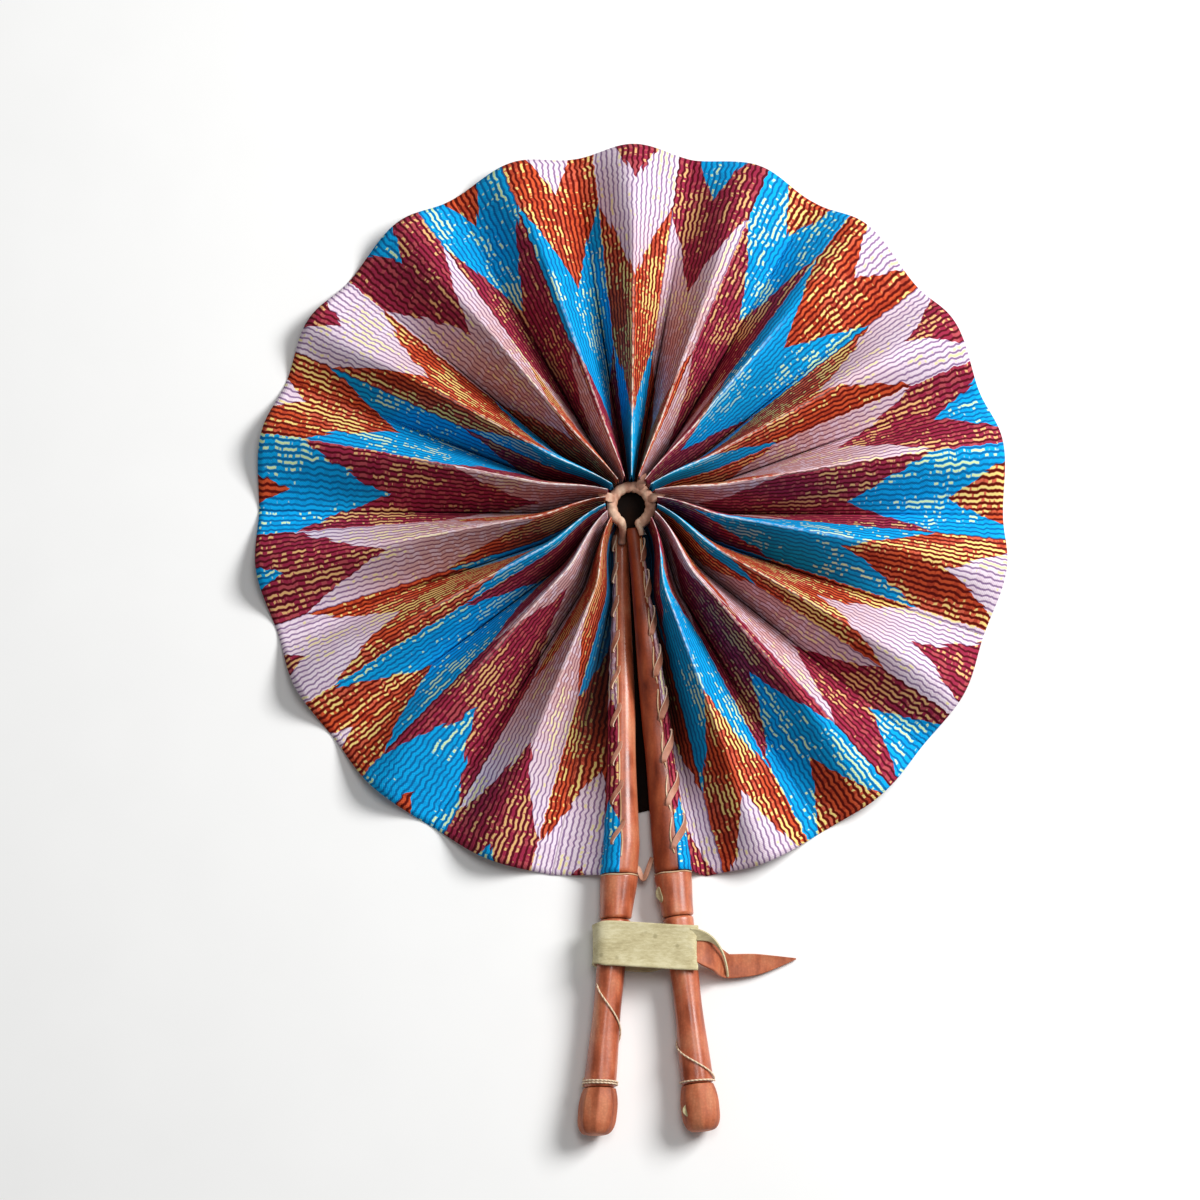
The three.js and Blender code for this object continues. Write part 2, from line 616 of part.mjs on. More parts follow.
// The strap's route: over both grips from its slit end, round the left one, behind, up round the
// right one and out through the slit as a tail. Each stop gives its own width.
function strapStops() {
  const round = (axis, degrees, width) => {
    const angle = radians(degrees);
    return {
      width,
      shift: axis === leftAxis ? -STRAP_FALL / 2 : STRAP_FALL / 2,
      place: (along) => {
        const reach = stickWidth(along) / 2 + STRAP_REACH;
        return [axis(along) + reach * Math.cos(angle), GRIP_AXIS_HEIGHT + reach * Math.sin(angle)];
      },
    };
  };
  const tailStart = rightAxis(STRAP_MIDDLE) + STICK_NECK_WIDTH / 2 + STRAP_REACH;
  const over = stations(STRAP_END_DEGREES, STRAP_TOP_DEGREES, STRAP_END_SEGMENTS);
  const about = stations(STRAP_TOP_DEGREES, STRAP_UNDER_DEGREES, STRAP_ROUND_SEGMENTS);
  const out = stations(STRAP_UNDER_DEGREES, STRAP_EXIT_DEGREES, STRAP_EXIT_SEGMENTS);
  const narrowed = (degrees) => {
    const share = THREE.MathUtils.inverseLerp(STRAP_UNDER_DEGREES, STRAP_EXIT_DEGREES, degrees);
    return lerp(STRAP_WIDTH, TAIL_NECK_WIDTH, share);
  };
  return [
    ...over.map((degrees) => round(rightAxis, degrees, STRAP_WIDTH)),
    ...about.map((degrees) => round(leftAxis, degrees, STRAP_WIDTH)),
    ...out.map((degrees) => round(rightAxis, degrees, narrowed(degrees))),
    ...TAIL_STOPS.map(({ share, height, width }) => ({
      width,
      shift: STRAP_FALL / 2 + share * TAIL_BLADE_WIDTH / 2,
      place: () => [tailStart + share * TAIL_LENGTH, height],
    })),
  ];
}

function strapGeometry() {
  const stops = strapStops();
  const edges = [-0.5, 0, 0.5];
  const middles = stops.map((stop) => edges.map((edge) => {
    const along = STRAP_MIDDLE + stop.shift + edge * stop.width;
    const [x, z] = stop.place(along);
    return new THREE.Vector3(x, -along, z);
  }));
  const offset = (row, column, distance) => {
    const before = middles[Math.max(row - 1, 0)][column];
    const after = middles[Math.min(row + 1, middles.length - 1)][column];
    const run = new THREE.Vector2(after.x - before.x, after.z - before.z).normalize();
    return middles[row][column].clone().add(new THREE.Vector3(run.y * distance, 0, -run.x * distance));
  };
  const face = (distance) => middles.map((row, r) => row.map((_, c) => offset(r, c, distance)));
  const band = sheet(face(STRAP_THICKNESS / 2), face(-STRAP_THICKNESS / 2));

  const slitEnd = middles[0][1];
  const notchLength = STRAP_NOTCH_DEPTH + STRAP_THICKNESS;
  const notch = new THREE.BoxGeometry(notchLength, STRAP_NOTCH_WIDTH, 4 * STRAP_THICKNESS);
  notch.translate(
    slitEnd.x + STRAP_THICKNESS / 2 - STRAP_NOTCH_DEPTH / 2,
    slitEnd.y,
    slitEnd.z + STRAP_THICKNESS,
  );
  return fromManifold(toManifold(band).subtract(toManifold(notch)));
}

// The whole fan

const hubCentred = new THREE.Group();
const rightHandle = new THREE.Group();
rightHandle.rotation.z = radians(RIGHT_LEAN_DEGREES);
rightHandle.add(...handlePieces('right', RIGHT, FIRST_VALLEY_DEGREES));
hubCentred.add(
  rightHandle,
  ...handlePieces('left', LEFT, LAST_VALLEY_DEGREES),
  ...leafPieces(),
  ...hubPieces(),
  piece('strap', strapGeometry(), 'suede'),
);

const fan = new THREE.Group();
fan.add(hubCentred);
fan.updateMatrixWorld(true);
const box = new THREE.Box3().setFromObject(fan, true);
const middle = box.getCenter(new THREE.Vector3());
hubCentred.position.set(-middle.x, -middle.y, -box.min.z);
const size = box.getSize(new THREE.Vector3());
console.log(`hub axis at ${hubCentred.position.toArray().map((v) => v.toFixed(4))} mm`);
console.log(`box ${size.toArray().map((v) => v.toFixed(2))} mm`);

export default fan;
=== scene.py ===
# %% [markdown]
# # A leather folding fan
# The fan lies open on its back. A strip of printed cotton is pleated and gathered round a thong
# ring, and its two ends are laced to leather-bound sticks. A leather strap holds the sticks together.
# The solids of the part are loaded first: they fix where each body is and how it moves. Everything
# that the eye sees is then built over them as fine surfaces, worked out with numpy.

import math

import bpy
import numpy as np
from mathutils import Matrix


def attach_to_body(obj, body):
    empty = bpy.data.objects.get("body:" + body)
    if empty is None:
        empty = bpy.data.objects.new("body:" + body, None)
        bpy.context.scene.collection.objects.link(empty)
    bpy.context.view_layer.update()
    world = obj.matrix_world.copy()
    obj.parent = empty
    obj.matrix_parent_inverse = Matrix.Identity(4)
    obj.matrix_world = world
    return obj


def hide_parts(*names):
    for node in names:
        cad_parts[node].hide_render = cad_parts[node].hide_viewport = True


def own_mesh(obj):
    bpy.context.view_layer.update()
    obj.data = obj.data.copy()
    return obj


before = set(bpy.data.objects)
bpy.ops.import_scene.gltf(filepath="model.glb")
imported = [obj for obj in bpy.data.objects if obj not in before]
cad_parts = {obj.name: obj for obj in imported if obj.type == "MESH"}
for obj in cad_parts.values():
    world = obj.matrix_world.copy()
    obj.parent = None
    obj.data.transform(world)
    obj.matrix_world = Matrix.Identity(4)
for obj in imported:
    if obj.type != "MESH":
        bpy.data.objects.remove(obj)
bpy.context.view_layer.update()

# %% [markdown]
# ## Units
# Distances are in millimetres from the hub, because that is how the fan was measured, and turn to
# metres when a mesh is made. Nothing made by hand is quite regular, so a random source with a fixed
# seed gives small drifts, the same ones on each run.

# %% Units
MM = 0.001
HUB = np.array([-0.0145, 44.9517, 0.0])
UP = np.array([0, 0, 1.0])
JITTER = np.random.default_rng(17)
print("hub axis at", HUB[:2].tolist(), "mm")

# %% [markdown]
# ## Surfaces
# Every piece is a grid of points, as a net is laid over a form. One tool turns a grid into a mesh.


# %% Grid to mesh
def surface(name, points, material, uv=None, around=False, along=False, ends=False):
    """Makes a mesh of a grid of points: each four neighbours become a face.

    around joins every row's last point to its first, along joins the last row to the first, and ends
    closes the first and last row. uv holds the flat place of each grid corner, in metres.
    """
    rows, columns = points.shape[:2]
    row_steps = np.arange(rows if along else rows - 1)
    column_steps = np.arange(columns if around else columns - 1)
    row, column = np.meshgrid(row_steps, column_steps, indexing="ij")
    corner_row = np.stack([row, row, row + 1, row + 1], axis=-1).reshape(-1, 4)
    corner_column = np.stack([column, column + 1, column + 1, column], axis=-1).reshape(-1, 4)
    faces = (corner_row % rows) * columns + corner_column % columns
    flat = points.reshape(-1, 3)
    a, b, c = (flat[faces[:, i]] for i in range(3))
    facing = np.cross(b - a, c - a)
    closed = around and (along or ends)
    outward = (facing * (a + c - 2 * flat.mean(axis=0))).sum() if closed else facing[:, 2].sum()
    if outward < 0:
        faces, corner_row, corner_column = (x[:, ::-1] for x in (faces, corner_row, corner_column))
    polygons = faces.tolist()
    if ends:
        first = list(range(columns))
        last = list(range((rows - 1) * columns, rows * columns))
        polygons += [first[::-1], last] if outward >= 0 else [first, last[::-1]]
    mesh = bpy.data.meshes.new(name)
    mesh.from_pydata(((flat + HUB) * MM).tolist(), [], polygons)
    smooth_faces = np.arange(len(polygons)) < len(faces)
    mesh.polygons.foreach_set("use_smooth", smooth_faces)
    if uv is not None:
        corners = np.zeros((len(mesh.loops), 2))
        corners[: faces.size] = uv[corner_row, corner_column].reshape(-1, 2)
        mesh.uv_layers.new(name="flat").data.foreach_set("uv", corners.ravel())
    mesh.materials.append(material)
    piece = bpy.data.objects.new(name, mesh)
    bpy.context.scene.collection.objects.link(piece)
    return piece


# %% [markdown]
# ## Lines
# A thong or a strap is one section carried along a path, with a frame that follows it.


# %% Sweeps
def unit(vectors):
    """Each vector divided by its own length."""
    return vectors / np.linalg.norm(vectors, axis=-1, keepdims=True)


def sweep(path, section, normal, width=1.0, height=1.0, roll=0.0):
    """Carries a section along a path.

    At each point the path's direction and the normal make a square frame, turned by roll about the
    path. A section point (a, b) lands a widths to the side and b heights along the normal.
    """
    count = len(path)
    direction = unit(np.gradient(path, axis=0))
    normal = np.broadcast_to(normal, path.shape)
    normal = unit(normal - (normal * direction).sum(axis=1, keepdims=True) * direction)
    side = np.cross(direction, normal)
    turn = np.broadcast_to(roll, count)[:, None]
    across = side * np.cos(turn) + normal * np.sin(turn)
    up = normal * np.cos(turn) - side * np.sin(turn)
    width = np.broadcast_to(width, count)[:, None, None]
    height = np.broadcast_to(height, count)[:, None, None]
    sideways = section[None, :, :1] * width * across[:, None]
    upward = section[None, :, 1:] * height * up[:, None]
    return path[:, None] + (sideways + upward)


# %% [markdown]
# ## Paths
# `through` draws a smooth path through a few stops, and `even` spaces a path's points evenly.


# %% Paths
def through(stops, count):
    """A smooth line through stops: a cubic from stop to stop, heading at each along its neighbours."""
    stops = np.asarray(stops, float)
    heading = np.gradient(stops, axis=0)
    place = np.linspace(0, len(stops) - 1, count)
    index = np.minimum(place.astype(int), len(stops) - 2)
    t = (place - index)[:, None]
    start = (2 * t**3 - 3 * t**2 + 1) * stops[index] + (t**3 - 2 * t**2 + t) * heading[index]
    end = (3 * t**2 - 2 * t**3) * stops[index + 1] + (t**3 - t**2) * heading[index + 1]
    return start + end


def even(path, count, rounding):
    """The same line in evenly spaced points, its corners rounded by an average over neighbours."""
    length = np.concatenate([[0], np.cumsum(np.linalg.norm(np.diff(path, axis=0), axis=1))])
    place = np.linspace(0, length[-1], count)
    spaced = np.stack([np.interp(place, length, path[:, i]) for i in range(3)], axis=1)
    padded = np.concatenate([[spaced[0]] * rounding, spaced, [spaced[-1]] * rounding])
    kernel = np.ones(2 * rounding + 1) / (2 * rounding + 1)
    return np.stack([np.convolve(padded[:, i], kernel, mode="valid") for i in range(3)], axis=1)


def path_length(path):
    """The sum of the steps along a path."""
    return float(np.linalg.norm(np.diff(path, axis=0), axis=1).sum())


# %% [markdown]
# ## Steps and sections
# Soft changes of width or height use an S-shaped step. Cords are round, and cut thongs are flat with
# soft corners.


# %% Small shapes
def smooth(x, low, high):
    """An S-shaped step from 0 at low to 1 at high."""
    t = np.clip((x - low) / (high - low), 0, 1)
    return t * t * (3 - 2 * t)


def circle(sides):
    """A round section of radius 1."""
    angle = np.linspace(0, 2 * np.pi, sides, endpoint=False)
    return np.stack([np.cos(angle), np.sin(angle)], axis=1)


def flat_thong(sides, squareness):
    """The section of a cut thong: a circle squared off, so that it has flat faces and soft corners."""
    ring = circle(sides)
    return np.sign(ring) * np.abs(ring) ** squareness


def tube_uv(rows, columns, length, girth):
    """Flat places for a tube: along its length and round its girth, in metres."""
    row_places = np.linspace(0, length, rows)
    column_places = np.linspace(0, girth, columns)
    along, round_it = np.meshgrid(row_places, column_places, indexing="ij")
    return np.stack([along, round_it], axis=-1) * MM


# %% [markdown]
# ## Joining pieces to the part
# A piece moves with a body of the part. Most pieces also stand for the solids whose place they take.


# %% Bodies
def attach(piece, body):
    """The piece moves with a body."""
    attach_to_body(piece, body)
    return piece


def dress(piece, body, slot, *nodes):
    """The piece is attached, and stands for these solids."""
    attach(piece, body)
    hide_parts(*nodes)
    return piece


# %% [markdown]
# ## Colours and the node helper
# Colours are written as sRGB hex values, as a paint card would give them, and one function turns them
# to the linear values that the shader wants. One helper adds a node, sets it and links it.


# %% Colours and nodes
def colour(code):
    """An sRGB hex colour as linear red, green, blue and full cover."""
    parts = np.array([int(code[i : i + 2], 16) for i in (1, 3, 5)]) / 255
    linear = np.where(parts <= 0.04045, parts / 12.92, ((parts + 0.055) / 1.055) ** 2.4)
    return (*linear.tolist(), 1.0)


def node(tree, kind, inputs=None, stops=None, **settings):
    """Adds one node and returns its outputs. A socket is linked to its input, a value is set there."""
    made = tree.nodes.new("ShaderNode" + kind)
    for name, value in settings.items():
        setattr(made, name, value)
    for name, value in (inputs or {}).items():
        if isinstance(value, bpy.types.NodeSocket):
            tree.links.new(value, made.inputs[name])
        else:
            made.inputs[name].default_value = value
    for index, (place, shade) in enumerate(stops or []):
        elements = made.color_ramp.elements
        element = elements[index] if index < 2 else elements.new(place)
        element.position = place
        element.color = colour(shade)
    return made.outputs


def new_material(name):
    """A node material, its tree and its shader."""
    material = bpy.data.materials.new(name)
    material.use_nodes = True
    tree = material.node_tree
    shader = tree.nodes["Principled BSDF"]
    return material, tree, shader


# %% [markdown]
# ## Printed cotton
# The cloth is a cotton wax print: columns of nested V shapes in four colours, each column one colour
# further on than the last. The dye runs along the threads, so every edge is ragged thread by thread,
# and thin wavy lines and yellow dashes run along the strip's width. A printed image could show this,
# but a formula keeps it sharp at any distance, so the pattern is worked out from the flat place of
# each point: how far along the strip it lies, and how far in from the rim.

# %% The cloth's flat place
PLEATS = 17
PANEL = 24.8
STRIP_END = 2 * PANEL * PLEATS

cotton, tree, shader = new_material("wax_printed_cotton")
place = node(tree, "SeparateXYZ", {0: node(tree, "UVMap", uv_map="flat")[0]})
strip = node(tree, "Math", {0: place[0], 1: 1 / MM}, operation="MULTIPLY")[0]
depth = node(tree, "Math", {0: place[1], 1: 1 / MM}, operation="MULTIPLY")[0]


def strip_noise(across, rates, detail):
    """Noise drawn out along the threads: rates are its steps for each unit across and each mm in."""
    tree = cotton.node_tree
    sideways = node(tree, "Math", {0: across, 1: rates[0]}, operation="MULTIPLY")[0]
    inward = node(tree, "Math", {0: depth, 1: rates[1]}, operation="MULTIPLY")[0]
    here = node(tree, "CombineXYZ", {0: sideways, 1: inward})[0]
    settings = {"Vector": here, "Scale": 1.0, "Detail": detail}
    return node(tree, "TexNoise", settings, noise_dimensions="2D")[0]


print("cloth strip:", round(STRIP_END), "mm long")

# %% [markdown]
# ### Threads
# The print is drawn in lines 2.2 mm apart, which stand for bundles of threads. Neighbours sway
# together in waves about 3 mm long, and each has its own luck in how far its dye ran.

# %% Threads
THREAD = 2.2
SWAY = 1.9
SWAY_RATES = (0.06, 0.36)

sway_noise = strip_noise(strip, SWAY_RATES, 1.0)
sway = node(tree, "Math", {0: sway_noise, 1: SWAY, 2: -SWAY / 2}, operation="MULTIPLY_ADD")[0]
swayed = node(tree, "Math", {0: strip, 1: sway}, operation="ADD")[0]
thread = node(tree, "Math", {0: swayed, 1: THREAD}, operation="DIVIDE")[0]
thread_number = node(tree, "Math", {0: thread}, operation="FLOOR")[0]
thread_luck = node(tree, "TexWhiteNoise", {"W": thread_number}, noise_dimensions="1D")[0]
line_shape = node(tree, "Math", {0: thread, 1: 0.5}, operation="PINGPONG")[0]
print("threads:", round(STRIP_END / THREAD))

# %% [markdown]
# ### Columns and bands
# A column is a stack of nested V shapes whose tips point to the hub, and each column's tip creeps a
# little outward from the last one's. A point's level is its depth plus its share of the V's slope.
# Each thread's dye runs a little short or long, so the level is shifted thread by thread.

# %% Columns and bands
COLUMN_WIDTH = 36.0
FIRST_TIP = 24.9
TIP_DEPTH = 26.0
TIP_CREEP = 0.95
V_DEPTH = 33.0
BAND_STARTS = (0.0, 37.5, 92.0, 150.0)
LONGEST_RUN = 2.2
COLOUR_CYCLE = 4
WHOLE_CYCLES = 6

luck = node(tree, "Math", {0: thread_luck, 1: 0.5}, operation="SUBTRACT")[0]
luck_size = node(tree, "Math", {0: luck}, operation="ABSOLUTE")[0]
luck_skew = node(tree, "Math", {0: luck, 1: luck_size}, operation="MULTIPLY")[0]
run = node(tree, "Math", {0: luck_skew, 1: LONGEST_RUN * 4}, operation="MULTIPLY")[0]
from_tip = node(tree, "Math", {0: swayed, 1: FIRST_TIP}, operation="SUBTRACT")[0]
column = node(tree, "Math", {0: from_tip, 1: 1 / COLUMN_WIDTH, 2: 0.5}, operation="MULTIPLY_ADD")[0]
column_number = node(tree, "Math", {0: column}, operation="FLOOR")[0]
column_share = node(tree, "Math", {0: column, 1: column_number}, operation="SUBTRACT")[0]
off_tip = node(tree, "Math", {0: column_share, 1: 2.0, 2: -1.0}, operation="MULTIPLY_ADD")[0]
off_tip_size = node(tree, "Math", {0: off_tip}, operation="ABSOLUTE")[0]
reach = node(tree, "Math", {0: off_tip_size, 1: V_DEPTH, 2: depth}, operation="MULTIPLY_ADD")[0]
creep = {0: column_number, 1: TIP_CREEP, 2: -TIP_DEPTH}
crept = node(tree, "Math", creep, operation="MULTIPLY_ADD")[0]
level = node(tree, "Math", {0: reach, 1: crept}, operation="ADD")[0]
ragged_level = node(tree, "Math", {0: level, 1: run}, operation="ADD")[0]
band = node(tree, "Math", {0: ragged_level, 1: BAND_STARTS[0]}, operation="GREATER_THAN")[0]
for band_start in BAND_STARTS[1:]:
    further = node(tree, "Math", {0: ragged_level, 1: band_start}, operation="GREATER_THAN")[0]
    band = node(tree, "Math", {0: band, 1: further}, operation="ADD")[0]
cycle = node(tree, "Math", {0: column_number, 1: band}, operation="ADD")[0]
step_middle = {0: cycle, 1: 1 / COLOUR_CYCLE, 2: WHOLE_CYCLES + 0.5 / COLOUR_CYCLE}
cycle_share = node(tree, "Math", step_middle, operation="MULTIPLY_ADD")[0]
dye = node(tree, "Math", {0: cycle_share}, operation="FRACT")[0]
print("columns:", round(STRIP_END / COLUMN_WIDTH, 1))

# %% [markdown]
# ### Dyes
# The four dyes are a pale mauve, a burnt orange, a clear blue and a wine red. Each has a ground, a
# darker line, a second tone and a gold of its own. How rich it is in lines and gold is kept as a grey.

# %% Dyes
PALETTES = {
    "ground": ("#ECDCE8", "#D2542E", "#00A8EA", "#9A2844"),
    "line": ("#8A6C94", "#5E0A02", "#0068A6", "#500614"),
    "accent": ("#E2CCDC", "#A83420", "#0096D8", "#BC5458"),
    "gold": ("#F0E2A8", "#F4DC84", "#D8F0B8", "#E4B878"),
    "rich": ("#0C0C0C", "#6A6A6A", "#444444", "#525252"),
}
steps = [step / COLOUR_CYCLE for step in range(COLOUR_CYCLE)]
shades = {}
for name, codes in PALETTES.items():
    shades[name] = node(tree, "ValToRGB", {0: dye}, list(zip(steps, codes)))[0]
    shades[name].node.color_ramp.interpolation = "CONSTANT"
print("dyes:", COLOUR_CYCLE, "in", len(shades), "palettes")

# %% [markdown]
# ### Pink, coral and second tones
# The pale columns turn a dull pink toward the hub, partly print and partly painted shade with painted
# warm light reflected from the neighbouring folds, and the orange runs to coral in places. Single
# threads carry short dashes of the second tone.

# %% Pink, coral and second tones
PATCH_RATES = (0.07, 0.03)
ACCENT_RATES = (5.3, 0.3)
PINK_FROM = 24.0
PINK_FULL = 66.0
MOST_PINK = 0.8
MOST_CORAL = 0.8
MOST_ACCENT = 0.7

patch = strip_noise(strip, PATCH_RATES, 2.0)
is_pale = node(tree, "Math", {0: dye, 1: 1 / COLOUR_CYCLE}, operation="LESS_THAN")[0]
is_early = node(tree, "Math", {0: dye, 1: 2 / COLOUR_CYCLE}, operation="LESS_THAN")[0]
is_orange = node(tree, "Math", {0: is_early, 1: is_pale}, operation="SUBTRACT")[0]
# Pink toward the hub on the pale dye: partly print, partly painted shade and reflected warm light
inner = node(tree, "MapRange", {0: depth, 1: PINK_FROM, 2: PINK_FULL, 3: 0.0, 4: MOST_PINK})[0]
pink_cover = node(tree, "Math", {0: inner, 1: is_pale}, operation="MULTIPLY")[0]
coral_patch = node(tree, "MapRange", {0: patch, 1: 0.42, 2: 0.56, 3: 0.0, 4: MOST_CORAL})[0]
coral_cover = node(tree, "Math", {0: coral_patch, 1: is_orange}, operation="MULTIPLY")[0]
pink = {0: pink_cover, 6: shades["ground"], 7: colour("#C88E88")}
pinked = node(tree, "Mix", pink, data_type="RGBA")[2]
dyed = node(tree, "Mix", {0: coral_cover, 6: pinked, 7: colour("#DE6A50")}, data_type="RGBA")[2]
accent_noise = strip_noise(thread_number, ACCENT_RATES, 2.0)
accent_range = {1: 0.52, 2: 0.57, 3: 0.0, 4: MOST_ACCENT}
accent_cover = node(tree, "MapRange", {0: accent_noise, **accent_range})[0]
toned = node(tree, "Mix", {0: accent_cover, 6: dyed, 7: shades["accent"]}, data_type="RGBA")[2]
print("pink from", PINK_FROM, "to", PINK_FULL, "mm in from the rim")

# %% [markdown]
# ### Dark lines
# A dark wavy line runs between each two threads, wider in the richer dyes and brown on the pink.

# %% Dark lines
LINE_WIDTH = 0.165
LINE_SOFTNESS = 0.08

line_edge = node(tree, "Math", {0: shades["rich"], 1: 0.5, 2: LINE_WIDTH}, operation="MULTIPLY_ADD")[0]
line_gap = node(tree, "Math", {0: line_shape, 1: line_edge}, operation="SUBTRACT")[0]
line_cover = node(tree, "MapRange", {0: line_gap, 1: -LINE_SOFTNESS, 2: LINE_SOFTNESS, 3: 1.0, 4: 0.0})[0]
# Brown lines where the pale dye turns pink: part of the same painted shade
brown = {0: pink_cover, 6: shades["line"], 7: colour("#864846")}
browned = node(tree, "Mix", brown, data_type="RGBA")[2]
lined = node(tree, "Mix", {0: line_cover, 6: toned, 7: browned}, data_type="RGBA")[2]
print("dark lines:", round(2 * LINE_WIDTH * THREAD, 2), "mm wide in the pale dye")

# %% [markdown]
# ### Gold dashes
# Gold keeps to single threads: long streaks, broken into short dashes, thicker in patches, and rubbed
# off where the folds bend sharply near the hub.

# %% Gold dashes
STREAK_RATES = (7.3, 0.07)
DASH_RATES = (3.7, 0.5)
PATCH_SHARE = 1.3
GOLD_LEVEL = 1.86
GOLD_RUB_FROM = 55.0
GOLD_RUB_FULL = 100.0
LEAST_GOLD = 0.35

streak = strip_noise(thread_number, STREAK_RATES, 1.0)
dash = strip_noise(thread_number, DASH_RATES, 1.0)
streaked = node(tree, "Math", {0: streak, 1: dash}, operation="ADD")[0]
patched = node(tree, "Math", {0: patch, 1: PATCH_SHARE, 2: streaked}, operation="MULTIPLY_ADD")[0]
gilded = node(tree, "Math", {0: patched, 1: shades["rich"]}, operation="ADD")[0]
gold_bare = node(tree, "MapRange", {0: gilded, 1: GOLD_LEVEL, 2: GOLD_LEVEL + 0.05, 3: 0.0, 4: 1.0})[0]
thread_open = node(tree, "MapRange", {0: line_shape, 1: 0.24, 2: 0.34, 3: 0.0, 4: 1.0})[0]
gold_whole = node(tree, "Math", {0: gold_bare, 1: thread_open}, operation="MULTIPLY")[0]
gold_rub = {1: GOLD_RUB_FROM, 2: GOLD_RUB_FULL, 3: 1.0, 4: LEAST_GOLD}
gold_left = node(tree, "MapRange", {0: depth, **gold_rub})[0]
gold_cover = node(tree, "Math", {0: gold_whole, 1: gold_left}, operation="MULTIPLY")[0]
printed = node(tree, "Mix", {0: gold_cover, 6: lined, 7: shades["gold"]}, data_type="RGBA")[2]
print("gold is rubbed from", GOLD_RUB_FROM, "mm in from the rim")

# %% [markdown]
# ### Painted shade in the valleys and beside the sticks
# Toward the hub the valleys are darkened with painted shade, and so is the cloth beside the sticks.

# %% Painted valley and stick shade
VALLEY_SHADE_WIDTH = 9.0
VALLEY_SHADE_FROM = 50.0
VALLEY_SHADE_FULL = 105.0
MOST_VALLEY_SHADE = 0.5
STICK_SHADE_FROM = 15
STICK_SHADE_FULL = 2
STICK_SHADE_DEPTH_FROM = 25.0
STICK_SHADE_DEPTH_FULL = 60.0
MOST_STICK_SHADE = 0.85

# Painted shade near each valley, growing toward the hub
off_valley = node(tree, "Math", {0: strip, 1: PANEL}, operation="PINGPONG")[0]
near_valley = node(tree, "MapRange", {0: off_valley, 1: 0.0, 2: VALLEY_SHADE_WIDTH, 3: 1.0, 4: 0.0})[0]
valley_shade_depth = node(tree, "MapRange", {0: depth, 1: VALLEY_SHADE_FROM, 2: VALLEY_SHADE_FULL, 3: 0.0, 4: MOST_VALLEY_SHADE})[0]
valley_shade = node(tree, "Math", {0: near_valley, 1: valley_shade_depth}, operation="MULTIPLY")[0]
# Painted shade on the cloth beside the sticks, growing toward the hub
off_middle = node(tree, "Math", {0: strip, 1: STRIP_END / 2}, operation="SUBTRACT")[0]
off_middle_size = node(tree, "Math", {0: off_middle}, operation="ABSOLUTE")[0]
stick_shade_places = {1: STRIP_END / 2 - STICK_SHADE_FROM, 2: STRIP_END / 2 - STICK_SHADE_FULL, 3: 0.0, 4: 1.0}
near_stick = node(tree, "MapRange", {0: off_middle_size, **stick_shade_places})[0]
stick_shade_depths = {1: STICK_SHADE_DEPTH_FROM, 2: STICK_SHADE_DEPTH_FULL, 3: 0.0, 4: MOST_STICK_SHADE}
stick_shade_depth = node(tree, "MapRange", {0: depth, **stick_shade_depths})[0]
stick_shade = node(tree, "Math", {0: near_stick, 1: stick_shade_depth}, operation="MULTIPLY")[0]
# The print darkened toward near-black by both: painted shade
painted_shade = node(tree, "Math", {0: valley_shade, 1: stick_shade}, operation="MAXIMUM")[0]
shaded_print = node(tree, "Mix", {0: painted_shade, 6: printed, 7: colour("#120608")}, data_type="RGBA")[2]
print("dust lies", VALLEY_SHADE_WIDTH, "mm to each side of a valley")

# %% [markdown]
# ### Painted highlights on the crests
# Toward the hub the sharp crests get a painted highlight, and close to it the broad crests get a
# stronger one. Screening a pale grey over the print lightens the sharp crests, and screening the print
# over itself makes the broad ones brighter in their own colour.

# %% Painted crest highlights
CREST_FROM = 2.0
CREST_FULL = 0.2
BROAD_CREST_FROM = 8.0
BROAD_CREST_FULL = 1.5
CREST_HIGHLIGHT_FROM = 45.0
CREST_HIGHLIGHT_FULL = 110.0
BROAD_HIGHLIGHT_FROM = 92.0
BROAD_HIGHLIGHT_FULL = 114.0

crest_places = {1: PANEL - CREST_FROM, 2: PANEL - CREST_FULL, 3: 0.0, 4: 1.0}
near_crest = node(tree, "MapRange", {0: off_valley, **crest_places})[0]
crest_highlight_depth = node(tree, "MapRange", {0: depth, 1: CREST_HIGHLIGHT_FROM, 2: CREST_HIGHLIGHT_FULL, 3: 0.0, 4: 1.0})[0]
crest_highlight_patch = node(tree, "MapRange", {0: dash, 1: 0.36, 2: 0.6, 3: 0.1, 4: 1.0})[0]
crest_highlight_whole = node(tree, "Math", {0: near_crest, 1: crest_highlight_depth}, operation="MULTIPLY")[0]
crest_highlight = node(tree, "Math", {0: crest_highlight_whole, 1: crest_highlight_patch}, operation="MULTIPLY")[0]
# Painted highlight: a pale grey screened over the sharp crests near the hub
worn = {0: crest_highlight, 6: shaded_print, 7: colour("#D2CAC2")}
rubbed = node(tree, "Mix", worn, data_type="RGBA", blend_type="SCREEN")[2]
broad_places = {1: PANEL - BROAD_CREST_FROM, 2: PANEL - BROAD_CREST_FULL, 3: 0.0, 4: 1.0}
broad_crest = node(tree, "MapRange", {0: off_valley, **broad_places})[0]
near_hub = node(tree, "MapRange", {0: depth, 1: BROAD_HIGHLIGHT_FROM, 2: BROAD_HIGHLIGHT_FULL, 3: 0.0, 4: 1.0})[0]
broad_crest_highlight = node(tree, "Math", {0: broad_crest, 1: near_hub}, operation="MULTIPLY")[0]
# Painted highlight: the print screened over itself on the broad crests near the hub
bright = {0: broad_crest_highlight, 6: rubbed, 7: rubbed}
highlighted_print = node(tree, "Mix", bright, data_type="RGBA", blend_type="SCREEN")[2]
tree.links.new(highlighted_print, shader.inputs["Base Color"])
# The lightened crests are painted highlight
print("crests are rubbed over", CREST_FROM, "mm to each side")

